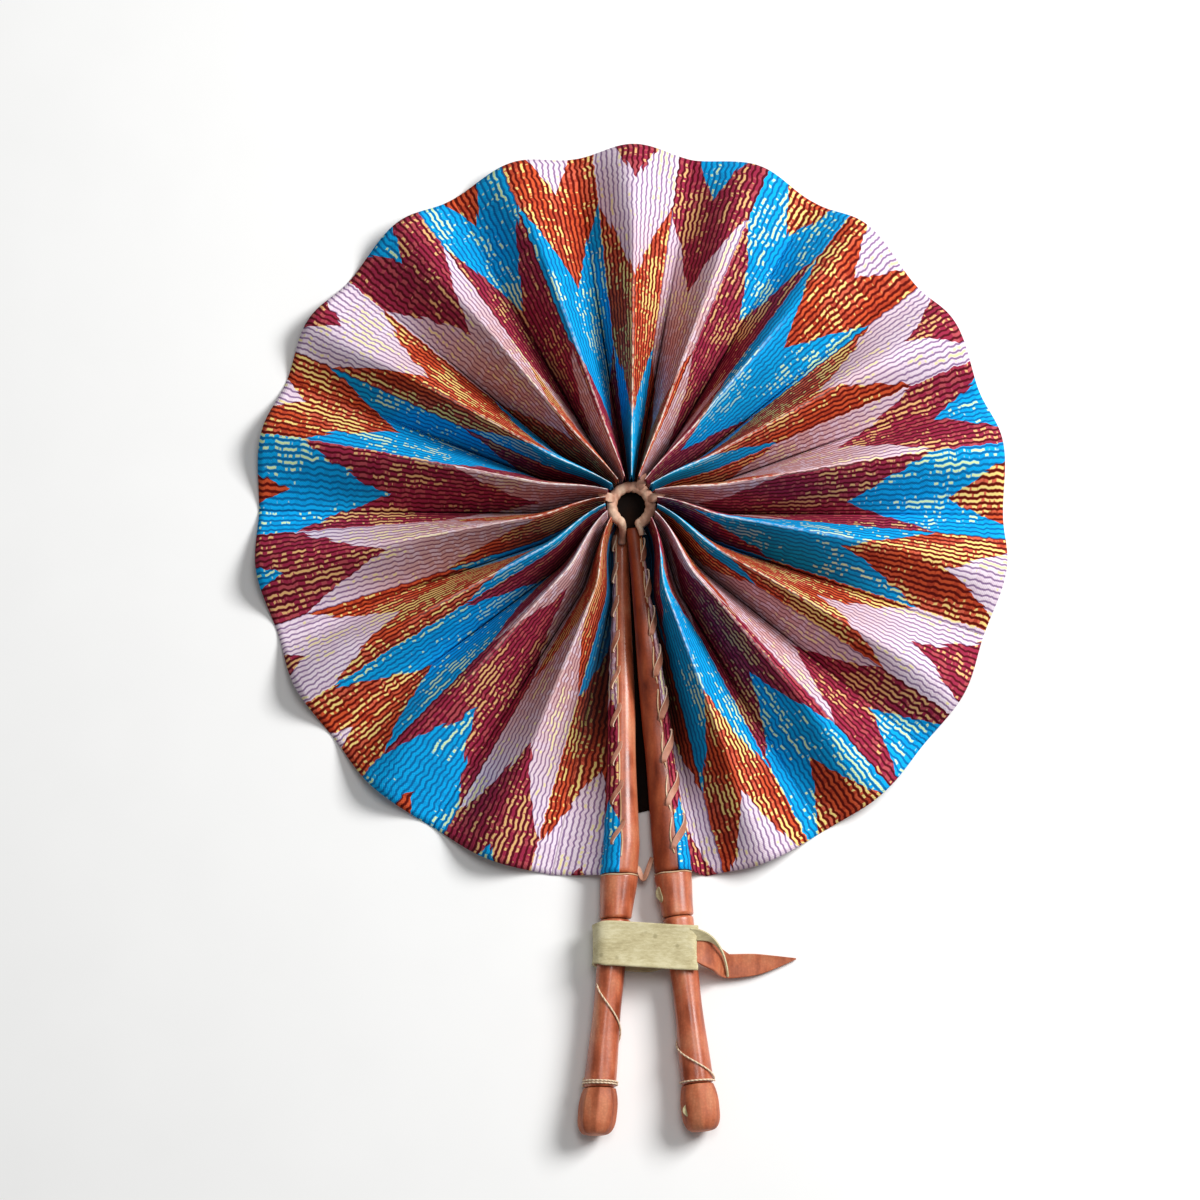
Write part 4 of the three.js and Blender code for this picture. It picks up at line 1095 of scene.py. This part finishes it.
def cloth_end(handle):
    """The lap and the panel at one end: their points, and flat places along the strip and inward."""
    side = handle["side"]
    drawn = RIM_DRAW * smooth(end_share, 0.85, 1.0)
    end_along = np.maximum(end_radius, handle["start"] + LAP_START) - drawn
    lap_high = lap_edge(handle, end_along)
    lap_angle = lap_high + (LAP_LOW - lap_high) * np.linspace(0, 1, 17)[None, :]
    lap_reach = stick_width(end_along) / 2 + LAP_COVER
    ripple = LAP_RIPPLE * np.sin(end_along * 0.9) * np.cos(lap_angle * 3)
    lap = handle_points(handle, end_along, lap_angle, lap_reach + ripple)
    edge = lap[:, -1:]
    valley = fold_angle(handle["valley"], end_radius)
    fold_radius = end_radius - SCALLOP / 2 * smooth(end_share, *SCALLOP_ZONE)
    fold_height = np.full_like(valley, VALLEY_HEIGHT)
    fold_line = [fold_radius * np.cos(valley), fold_radius * np.sin(valley), fold_height]
    fold = np.concatenate(fold_line, axis=1)[:, None]
    sag = UP * (edge[..., 2:] - VALLEY_HEIGHT) * SAG * np.sin(np.pi * down)
    panel = edge + (fold - edge) * down - sag * down
    girth = np.linalg.norm(fold - edge, axis=-1)
    strip_start = 0.0 if side > 0 else STRIP_END
    panel_flat = strip_start - side * girth * (1 - down[..., 0])
    lap_flat = HEM_STRIP - side * lap_reach * (lap_angle - lap_angle.mean(axis=1, keepdims=True))
    flat_in = RIM - end_radius
    return {"lap": (lap, lap_flat, flat_in - HEM_DEPTH), "panel": (panel, panel_flat, flat_in)}


print("cloth ends reach from", INNER, "to", RIM, "mm")

# %% [markdown]
# ### Cloth ends on the handles
# Each piece gets its flat places, and its mean width is printed.

for handle in HANDLES:
    name = handle["name"]
    for part, (points, flat_along, flat_deep) in cloth_end(handle).items():
        flat = np.stack([flat_along, np.broadcast_to(flat_deep, flat_along.shape)], axis=-1) * MM
        cloth = thicken(surface(f"cloth_{part}_{name}", points, cotton, flat))
        dress(cloth, f"{name}_handle", "printed_cloth", f"{name}_leaf_end")
        across = float(np.linalg.norm(np.diff(points, axis=1), axis=-1).sum(axis=1).mean())
        if part == "panel":
            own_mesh(cloth)
        print(name, part, "width", round(across, 1), "mm")

# %% [markdown]
# ## Stitches
# A thong is whipped over the edge of the cloth and through the sheath, and a thin pale thread, run in
# first to tack the cloth down, still shows beside it. Both follow the same stitches: some share of
# each is shown, it slants from a low to a high angle about the cloth's edge, and the thread bows out.

# %% Stitches
LACE_MARGIN = 4
LACE_CROWDING = 1.1
STITCH_POINTS = 36
LAST_STITCH_CUT = 0.12
LACES = {
    "left": {
        "stitches": 9, "width": 0.95, "low": -24, "high": 12, "shown": 0.58, "bow": (2, 3), "dip": 0.0,
    },
    "right": {
        "stitches": 8, "width": 1.3, "low": -48, "high": 16, "shown": 0.78, "bow": (4, 14), "dip": 0.6,
    },
}


def stitch_line(handle):
    """Points along the lacing: stitches done, the share of the present one, distance from the hub."""
    stitches = LACES[handle["name"]]["stitches"]
    first, last = handle["start"] + LACE_MARGIN, SHEATH_END - LACE_MARGIN
    turn = np.linspace(0.0, stitches - LAST_STITCH_CUT, stitches * STITCH_POINTS)
    along = first + (last - first) * (turn / stitches) ** LACE_CROWDING
    return turn, np.mod(turn, 1), along


print("stitches:", [lace["stitches"] for lace in LACES.values()])

# %% [markdown]
# ### Whipped lacing
# Only the slanting strands show; between them the thong goes back through its hole. One flat section is
# carried along that path, and its height drops below the cloth on the way back. No two stitches are
# quite alike, so each has a width and a swing of its own.

# %% Whipped lacing
LACE_HEIGHT = 0.3
LACE_GAP = 0.15
LACE_SPREAD = (0.8, 1.2)
LACE_SWING = 7
LACE_DIVE = 2.3


def whipped_lacing(handle):
    """Makes one lacing and returns the length of its path."""
    name = handle["name"]
    lace = LACES[name]
    stitches, shown_share = lace["stitches"], lace["shown"]
    turn, phase, along = stitch_line(handle)
    climb = smooth(phase, 0.0, shown_share) - smooth(phase, shown_share, 1.0)
    climb = climb if handle["side"] > 0 else 1 - climb
    stitch = np.minimum(turn.astype(int), stitches - 1)
    spread = JITTER.uniform(*LACE_SPREAD, stitches)[stitch]
    swing = JITTER.uniform(-LACE_SWING, LACE_SWING, stitches)[stitch] * np.sin(np.pi * phase)
    slant = lace["low"] + (lace["high"] - lace["low"]) * climb + swing
    angle = lap_edge(handle, along) + np.radians(slant)
    hidden = smooth(phase, shown_share - 0.04, shown_share + 0.06) * (1 - smooth(phase, 0.93, 1.0))
    cover = LAP_COVER + LACE_HEIGHT + LACE_GAP - LACE_DIVE * hidden
    base = stick_width(along) / 2
    path = handle_points(handle, along, angle, base + cover)
    outward = path - handle_points(handle, along, angle, base)
    shown = np.sin(np.pi * np.clip(phase / shown_share, 0, 1)) ** 0.5
    taper = lace["width"] * (0.5 + (spread - 0.5) * shown)
    points = sweep(path, flat_thong(16, 0.3), outward, taper, LACE_HEIGHT)
    lace_uv = tube_uv(len(path), 17, 1.0, 1.0)
    thong = surface(f"{name}_whipped_lacing", points, lace_hide, lace_uv, around=True, ends=True)
    dress(thong, f"{name}_handle", "lacing_thong", f"{name}_lacing")
    return path_length(path)


# %% [markdown]
# ### Tacking thread
# The thread lies on the leather beside the cloth's edge and dips under it at each stitch.

# %% Both lines of stitches
THREAD_RADIUS = 0.28
THREAD_GAP = 0.25


def tacking_thread(handle):
    """Makes one tacking thread and returns the length of its path."""
    name = handle["name"]
    lace = LACES[name]
    phase, along = stitch_line(handle)[1:]
    bow = np.sin(np.pi * phase)
    bow_low, bow_more = lace["bow"]
    angle = lap_edge(handle, along) + np.radians(bow_low + bow_more * bow)
    base = stick_width(along) / 2
    cover = WRAP + THREAD_GAP - lace["dip"] * (1 - smooth(bow, 0.1, 0.5))
    path = handle_points(handle, along, angle, base + cover)
    outward = path - handle_points(handle, along, angle, base)
    points = sweep(path, circle(8), outward, THREAD_RADIUS, THREAD_RADIUS)
    tack = surface(f"{name}_tacking_thread", points, raw_edge, around=True, ends=True)
    attach(tack, f"{name}_handle")
    return path_length(path)


for handle in HANDLES:
    print(handle["name"], "lacing", round(whipped_lacing(handle)), "mm")
    print(handle["name"], "tacking thread", round(tacking_thread(handle)), "mm")

# %% [markdown]
# ## Hub ring
# The folds are strung on a thong that is bent into a ring and whipped with a second strand, which
# shows as a slow twist round it. The left leg runs down onto the tip of the left stick.

# %% Hub ring
RING_RADIUS = 7.0
RING_HEIGHT = 15.74
RING_THONG = 1.95
RING_SPAN = (-68, 238)
RING_STOPS = 40
RING_ROWS = 260
RIGHT_LEG = ((1.1, -4.0, -1.3), (0.7, -2.0, -0.7))
LEFT_LEG = ((0.6, -1.6, -2.6), (0.5, -3.6, -6.2), (0.3, -6.0, -8.6))
RIGHT_END_SHARE = 0.35
LEFT_THINNING = 0.35
WHIP_TURNS = 15
WHIP_DEPTH = 0.05

ring_angle = np.radians(np.linspace(*RING_SPAN, RING_STOPS))
ring_level = np.full(RING_STOPS, RING_HEIGHT)
ring = np.stack([RING_RADIUS * np.cos(ring_angle), RING_RADIUS * np.sin(ring_angle), ring_level], axis=1)
path = through(np.concatenate([ring[0] + RIGHT_LEG, ring, ring[-1] + LEFT_LEG]), RING_ROWS)
section_angle = np.linspace(0, 2 * np.pi, 20, endpoint=False)
ring_share = np.linspace(0, 1, RING_ROWS)
whip_turn = 2 * section_angle[None, :] - 2 * np.pi * WHIP_TURNS * ring_share[:, None]
whip = 1 + WHIP_DEPTH * np.cos(whip_turn)
left_thin = 1 - LEFT_THINNING * smooth(ring_share, 0.86, 1.0)
right_thin = RIGHT_END_SHARE + (1 - RIGHT_END_SHARE) * smooth(ring_share, -0.02, 0.1)
taper = RING_THONG * left_thin * right_thin
points = sweep(path, circle(20), UP, taper, taper)
points = path[:, None] + (points - path[:, None]) * whip[..., None]
ring_piece = surface("hub_thong_ring", points, thong_hide, around=True, ends=True)
dress(ring_piece, "left_handle", "lacing_thong", "hub_ring")
print("hub ring thong", round(path_length(path)), "mm")

# %% [markdown]
# ### Thong ends
# Three knotted ends stick out between the folds. They swell at the knot and are cut to a point.

# %% Thong ends
TIE_VALLEYS = (4, 7, 13)
TIE_STOPS = ((6.6, 17.3), (8.2, 18.6), (10.0, 18.9), (12.4, 18.0))
TIE_PLACES = (0, 0.3, 0.65, 1)
TIE_WIDTHS = (1.0, 1.7, 1.5, 0.3)
TIE_ROWS = 30
TIE_HEIGHT = 0.45

for number, valley in enumerate(TIE_VALLEYS, 1):
    direction = fold_angle(FIRST_VALLEY + valley * PITCH, INNER)
    out = np.array([math.cos(direction), math.sin(direction), 0])
    path = through([out * reach + (0, 0, height) for reach, height in TIE_STOPS], TIE_ROWS)
    spread = np.interp(np.linspace(0, 1, TIE_ROWS), TIE_PLACES, TIE_WIDTHS)
    points = sweep(path, flat_thong(14, 0.35), UP, spread, TIE_HEIGHT)
    tie = surface(f"hub_thong_end_{number}", points, thong_hide, around=True, ends=True)
    dress(tie, "left_handle", "lacing_thong", f"hub_tie_{number}")
print("thong ends:", len(TIE_VALLEYS), "of", round(path_length(path), 1), "mm")

# %% [markdown]
# ## Hub pad and gusset
# A black pad closes the hole in the ring from below, and a gusset of the same hide closes the
# slit between the sticks. Both are painted shadow: black hide gives the eye the darkness that shows
# there.

# %% Hub pad
PAD_RADIUS = 6.6
PAD_HEIGHT = RING_HEIGHT - RING_THONG - 0.6
PAD_BACK = 0.8
PAD_HALF = 0.5
PAD_DISH = 0.8
PAD_WAVE = 0.04

pad_share = np.linspace(0.02, 1, 14)[:, None]
pad_turn = np.linspace(0, 2 * np.pi, 48, endpoint=False)[None, :]
pad_reach = PAD_RADIUS * np.sin(np.pi * pad_share) * (1 + PAD_WAVE * np.sin(3 * pad_turn))
pad_dish = PAD_DISH * (1 - pad_reach / PAD_RADIUS)
pad_rise = PAD_HEIGHT - PAD_HALF * np.cos(np.pi * pad_share) - pad_dish
pad_x = pad_reach * np.cos(pad_turn)
pad_y = pad_reach * np.sin(pad_turn) - PAD_BACK
points = np.stack([pad_x, pad_y, pad_rise + 0 * pad_turn], axis=-1)
# The pad is painted shadow: black hide where the hole in the ring is dark
pad = surface("hub_pad_painted_shadow", points, shadow_hide, around=True, ends=True)
attach(pad, "left_handle")
print("hub pad:", 2 * PAD_RADIUS, "mm across")

# %% [markdown]
# ### Gusset
# The gusset is as wide as the slit at each distance from the hub, its lower end is cut hollow, and it
# moves with the left stick.

# %% Gusset
SLIT_START = 5.0
SLIT_END = 107.0
SLIT_HEIGHT = 0.75
SLIT_MARGIN = 0.5
HOLLOW = 7.0
HOLLOW_START = 88
HOLLOW_LEVEL = 0.6
GUSSET_HALF = 0.45

slit_along = np.linspace(SLIT_START, SLIT_END, 70)
slit_stick = stick_width(np.maximum(slit_along, TIP_START)) / 2
left_side = LEFT_OFFSET + slit_stick + WRAP
right_side = slit_along * math.tan(RIGHT["lean"]) - slit_stick - WRAP
slit_width = np.maximum(right_side - left_side, 0) / 2 + SLIT_MARGIN
slit_level = np.full_like(slit_along, SLIT_HEIGHT)
slit_path = np.stack([(left_side + right_side) / 2, -slit_along, slit_level], axis=1)
gusset_section = flat_thong(20, 0.3)
points = sweep(slit_path, gusset_section, UP, slit_width, GUSSET_HALF)
hollow = HOLLOW * smooth(slit_along, HOLLOW_START, SLIT_END)
points[..., 1] -= hollow[:, None] * (gusset_section[None, :, 0] ** 2 - HOLLOW_LEVEL)
# The gusset is painted shadow: black hide where the slit is dark
gusset = surface("gusset_painted_shadow", points, shadow_hide, around=True, ends=True)
attach(gusset, "left_handle")
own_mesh(gusset)
print("gusset:", round(SLIT_END - SLIT_START), "mm long")

# %% [markdown]
# ### The loose end of the lacing
# The left lacing's end hangs in a short V from one sheath to the other.

# %% Loose lacing end
LOOSE_ALONG = np.array([131.0, 127.5])
LOOSE_COVERS = (1.6, 2.2)
LOOSE_ROWS = 50
LOOSE_HALF_WIDTHS = (1.0, 0.9)
LOOSE_HEIGHT = 0.35
LOOSE_ROLL = 0.4
DIP_SHARE = 0.42
DIP = (0, -5.0, 0.4)

loose_reach = stick_width(LOOSE_ALONG) / 2 + LOOSE_COVERS
loose_from = handle_points(LEFT, LOOSE_ALONG, math.pi, loose_reach)[0]
loose_to = handle_points(RIGHT, LOOSE_ALONG, math.pi, loose_reach)[1]
dip = loose_from + DIP_SHARE * (loose_to - loose_from) + DIP
loose_stops = [loose_from + (-1.4, 0.8, 0.6), loose_from, dip, loose_to + (0.4, 0.6, 0.8)]
path = through(loose_stops, LOOSE_ROWS)
loose_width = np.linspace(*LOOSE_HALF_WIDTHS, LOOSE_ROWS)
points = sweep(path, flat_thong(12, 0.35), UP, loose_width, LOOSE_HEIGHT, roll=LOOSE_ROLL)
loose_end = surface("loose_lacing_end", points, thong_hide, around=True, ends=True)
dress(loose_end, "left_handle", "lacing_thong", "tail_lace")
print("loose lacing end", round(path_length(path)), "mm")

# %% [markdown]
# ## Cord bindings
# A thin waxed cord is wound round the foot of each grip, twice on the left and once on the right, and
# runs up it in one long loose turn, where its end is tucked under. It is a helix whose pitch opens out.

# %% Bindings
CORD_RADIUS = 0.32
CORD_ROWS = 240
LOOSE_TURNS = 1.0
WOUND_PITCH = 0.85
WOUND_START = 0.6
LOOSE_OPENING = 1.15
CORD_GAP = 0.15
TUCK_TURN = 0.16
TUCK_DEPTH = 1.2
WINDINGS = {"left": (2.0, 38.0), "right": (1.0, 29.0)}

for handle in HANDLES:
    name = handle["name"]
    wound, loose_rise = WINDINGS[name]
    turns = np.linspace(0, wound + LOOSE_TURNS, CORD_ROWS)
    loose = np.clip(turns - wound, 0, None) ** LOOSE_OPENING
    along = SLEEVE_END - WOUND_START - np.minimum(turns, wound) * WOUND_PITCH - loose * loose_rise
    angle = handle["side"] * 2 * np.pi * turns
    base = stick_width(along) / 2
    tucked = TUCK_DEPTH * smooth(turns, wound + LOOSE_TURNS - TUCK_TURN, wound + LOOSE_TURNS)
    path = handle_points(handle, along, angle, base + WRAP + CORD_GAP + CORD_RADIUS - tucked)
    outward = path - handle_points(handle, along, angle, base)
    points = sweep(path, circle(10), outward, CORD_RADIUS, CORD_RADIUS)
    length = path_length(path)
    cord_uv = tube_uv(CORD_ROWS, 11, length, 1.0)
    cord = surface(f"{name}_cord_binding", points, twine, cord_uv, around=True, ends=True)
    dress(cord, f"{name}_handle", "binding_cord", f"{name}_binding")
    print(name, "binding cord", round(length), "mm")

# %% [markdown]
# ## The strap
# A strip of leather goes over both grips with its pale flesh side out, round the left one, behind them
# and up round the right one, where it comes out under the torn end of the strip as a pointed tail. The
# tail turns its red-brown grain side up. Stiff leather turns in a squared-off circle.

# %% The strap's route
STRAP_WIDTH = 16.0
STRAP_THICKNESS = 1.5
STRAP_SLOPE = math.tan(math.radians(4))
STRAP_SQUARENESS = 0.6
STRAP_ROWS = 280
RIGHT_SLOPE = math.tan(RIGHT["lean"])
STRAP_REACH = WRAP + 0.3 + STRAP_THICKNESS / 2

strap_span = SLEEVE_START * RIGHT_SLOPE - float(left_axis(SLEEVE_START))
strap_fall = strap_span * STRAP_SLOPE
strap_middle = SLEEVE_START + 0.3 + STRAP_WIDTH / 2 + strap_fall
left_x = float(left_axis(strap_middle - strap_fall / 2))
right_x = RIGHT_SLOPE * (strap_middle + strap_fall / 2)
grip_reach = float(stick_width(np.array([strap_middle]))[0]) / 2 + STRAP_REACH


def strap_stops(x, degrees, fall):
    """Points of the strap's middle line round one grip: a circle squared off."""
    angle = np.radians(degrees)
    side, rise = np.cos(angle), np.sin(angle)
    square_side, square_rise = (np.sign(v) * np.abs(v) ** STRAP_SQUARENESS for v in (side, rise))
    y = np.full_like(angle, -(strap_middle + fall))
    return np.stack([x + grip_reach * square_side, y, GRIP_HEIGHT + grip_reach * square_rise], axis=1)


stops = np.concatenate([
    strap_stops(right_x, np.linspace(32, 90, 40), strap_fall / 2),
    strap_stops(left_x, np.linspace(90, 270, 120), -strap_fall / 2),
    strap_stops(right_x, np.linspace(270, 350, 60), strap_fall / 2),
])
strap_path = even(stops, STRAP_ROWS, 5)
print("strap band length", round(path_length(strap_path)), "mm")

# %% [markdown]
# ### The band
# The band is drawn in a little where it turns, cupped across, narrow where it becomes the tail and
# ragged at its torn end.

# %% Strap band
BAND_COLUMNS = 25
TORN_EDGE = [0.4, 0.0, 0.5, 0.9, 1.9, 2.3, 1.7, 0.6, 0.9, 0.2, 0.5]
CUP = 0.35
BAND_GROUND = 0.05
DRAWN_LENGTH = 2.2
DRAWN_IN = 0.13
NARROWING = 0.5
NARROW_ZONE = (0.74, 0.93)
TAIL_SHIFT = 1.5
SHIFT_ZONE = (0.78, 0.95)
TORN_ZONE = (0.0, 0.07)

share = np.linspace(0, 1, STRAP_ROWS)
direction = unit(np.gradient(strap_path, axis=0))
outward = unit(np.cross(direction, np.array([0, 1.0, 0])))
across = np.linspace(-1, 1, BAND_COLUMNS)
top_side = np.stack([across, np.ones(BAND_COLUMNS)], axis=1)
under_side = np.stack([across[::-1], -np.ones(BAND_COLUMNS)], axis=1)
section = np.concatenate([top_side, under_side])
turned = np.exp(-(((strap_path[:, 0] - strap_path[:, 0].min()) / DRAWN_LENGTH) ** 2))
narrowed = 1 - NARROWING * smooth(share, *NARROW_ZONE)
half_width = STRAP_WIDTH / 2 * (1 - DRAWN_IN * turned) * narrowed
toward_hub = TAIL_SHIFT * smooth(share, *SHIFT_ZONE)
ragged = np.interp(across, np.linspace(-1, 1, len(TORN_EDGE)), TORN_EDGE)
torn_share = (1 - smooth(share, *TORN_ZONE))[:, None, None]
torn = np.concatenate([ragged, ragged[::-1]])[None, :, None] * torn_share
cupped = -CUP * section[None, :, :1] ** 4
pressed = STRAP_THICKNESS / 2 * smooth(np.minimum(share, 1 - share), -0.001, 0.006)
points = (strap_path[:, None] + np.array([0, -1.0, 0]) * section[None, :, :1] * half_width[:, None, None]
          + np.array([0, 1.0, 0]) * toward_hub[:, None, None] + torn * direction[:, None]
          + outward[:, None] * (section[None, :, 1:] * pressed[:, None, None] + cupped))
points[..., 2] = np.maximum(points[..., 2], BAND_GROUND)
band_piece = surface("strap_band", points, flesh_side, around=True, ends=True)
dress(band_piece, "strap", "strap_leather", "strap")
print("strap band:", STRAP_ROWS * len(section), "points")

# %% [markdown]
# ### Tail and lobe
# The tail comes out under the band, twists once and tapers to a point on the ground. Beside it a narrow
# lobe of the torn end hangs down. Each stop is a place and a half width, and each twist a turn, its
# place along the tail and its length.

# %% Strap tail and lobe
TAIL_STOPS = [
    (19.5, -160.6, 11.6, 3.6), (24.5, -161.2, 11.4, 4.4), (29.5, -163.4, 8.6, 4.9),
    (33.2, -165.4, 4.4, 4.3), (35.8, -165.6, 2.9, 4.3), (44.3, -164.9, 2.0, 3.8),
    (51.6, -163.9, 1.5, 2.2), (58.9, -162.7, 1.2, 0.2),
]
LOBE_STOPS = [
    (20.6, -155.4, 13.4, 2.3), (24.6, -155.8, 13.2, 1.9), (28.2, -157.0, 12.0, 1.1),
    (30.9, -159.2, 10.0, 0.45), (32.6, -161.8, 7.9, 0.3), (33.5, -164.4, 6.3, 0.28),
    (34.1, -167.0, 4.9, 0.28), (34.4, -169.4, 3.4, 0.26),
]
TAIL_ROWS = 150
LOBE_ROWS = 90
TAIL_GROUND = 0.1
TAIL_HALF = 0.5
TAIL_CURL = 0.5
LOBE_HALF = 0.45
TWISTS = ((0.5, 0.3, 0.12), (-0.2, 0.5, 0.08))
LOBE_LEAN = np.array([-0.55, -0.45, 1.0])

tail_line = through(TAIL_STOPS, TAIL_ROWS)
share = np.linspace(0, 1, TAIL_ROWS)
twist = sum(turn * np.exp(-(((share - at) / length) ** 2)) for turn, at, length in TWISTS)
points = sweep(tail_line[:, :3], section * (1, TAIL_HALF), UP, tail_line[:, 3], 1.0, roll=twist)
curl = TAIL_CURL * (section[None, :, 0] ** 2 - 0.4)
points[..., 2] += curl * (1 - smooth(share, 0.8, 1.0))[:, None]
points[..., 2] = np.maximum(points[..., 2], TAIL_GROUND)
tail_piece = surface("strap_tail", points, worn_goatskin, around=True, ends=True)

lobe_line = through(LOBE_STOPS, LOBE_ROWS)
points = sweep(lobe_line[:, :3], section * (1, LOBE_HALF), LOBE_LEAN, lobe_line[:, 3], 1.0)
lobe_piece = surface("strap_loop_lobe", points, flesh_side, around=True, ends=True)
for piece in (tail_piece, lobe_piece):
    attach(piece, "strap")
print("strap tail", round(path_length(tail_line[:, :3])), "mm")

# %% [markdown]
# ## Floor
# The fan lies on a pale floor with a hardly visible speckle.

# %% Floor
SPECKLE_SIZE = 33.0
FLOOR_HALF = 1800
FLOOR_HEIGHT = -0.05

floor_material, tree, shader = new_material("pale_floor")
here = node(tree, "TexCoord")["Object"]
speckle = node(tree, "TexNoise", {"Vector": here, "Scale": 1 / (SPECKLE_SIZE * MM), "Detail": 2.0})[0]
floor_tone = node(tree, "ValToRGB", {0: speckle}, [(0.0, "#F4F4F3"), (1.0, "#F8F8F7")])[0]
tree.links.new(floor_tone, shader.inputs["Base Color"])
shader.inputs["Roughness"].default_value = 0.9
shader.inputs["Specular IOR Level"].default_value = 0.1
floor_side = np.linspace(-FLOOR_HALF, FLOOR_HALF, 9)
floor_x, floor_y = np.meshgrid(floor_side, floor_side, indexing="ij")
floor_points = np.stack([floor_x, floor_y, np.full_like(floor_x, FLOOR_HEIGHT)], axis=-1)
floor = surface("floor", floor_points, floor_material)
print("floor:", 2 * FLOOR_HALF, "mm wide")

# %% [markdown]
# ## Light
# A wide soft lamp from the right and a weaker one overhead, under an even sky, let colours render about
# as they are written and give every fold a soft shadow.

# %% Light
SKY_STRENGTH = 0.17
LAMP_AZIMUTH = math.radians(28)
LAMP_ELEVATION = math.radians(42)
LAMP_DISTANCE = 1.4

scene = bpy.context.scene
scene.view_settings.view_transform = "Standard"
scene.world = bpy.data.worlds.new("even_sky")
scene.world.use_nodes = True
sky = scene.world.node_tree.nodes["Background"]
sky.inputs["Color"].default_value = (1, 1, 1, 1)
sky.inputs["Strength"].default_value = SKY_STRENGTH

level_reach = LAMP_DISTANCE * math.cos(LAMP_ELEVATION)
lamp_x = level_reach * math.cos(LAMP_AZIMUTH)
lamp_y = level_reach * math.sin(LAMP_AZIMUTH)
LAMPS = {
    "wide_soft_lamp": {
        "energy": 24.0, "size": 0.6, "place": (lamp_x, lamp_y, LAMP_DISTANCE * math.sin(LAMP_ELEVATION)),
    },
    "overhead_lamp": {"energy": 4.5, "size": 0.5, "place": (0.1, 0.15, 1.4)},
}
for name, settings in LAMPS.items():
    lamp_data = bpy.data.lights.new(name, "AREA")
    lamp_data.energy = settings["energy"]
    lamp_data.size = settings["size"]
    lamp = bpy.data.objects.new(name, lamp_data)
    lamp.location = settings["place"]
    lamp.rotation_euler = (-lamp.location).to_track_quat("-Z", "Y").to_euler()
    scene.collection.objects.link(lamp)
print("lamps:", list(LAMPS))

# %% [markdown]
# ## Camera
# The camera looks down from the handle side, a little off the vertical, from about two metres, which is
# why the far rim shows its waves and the near rim hardly does.

# %% Camera
TILT = math.radians(11)
CAMERA_DISTANCE = 2000.0
FRAME_WIDTH = 435.5
SENSOR_WIDTH = 36.0
LOOK_AT = np.array([-11.3, 13.4, 0.0])

camera_data = bpy.data.cameras.new("camera")
camera_data.sensor_width = SENSOR_WIDTH
camera_data.lens = SENSOR_WIDTH * CAMERA_DISTANCE / FRAME_WIDTH
camera = bpy.data.objects.new("camera", camera_data)
camera.location = (LOOK_AT + CAMERA_DISTANCE * np.array([0, -math.sin(TILT), math.cos(TILT)])) * MM
camera.rotation_euler = (TILT, 0, 0)
scene.collection.objects.link(camera)
scene.camera = camera
print("lens", round(camera_data.lens, 1), "mm")
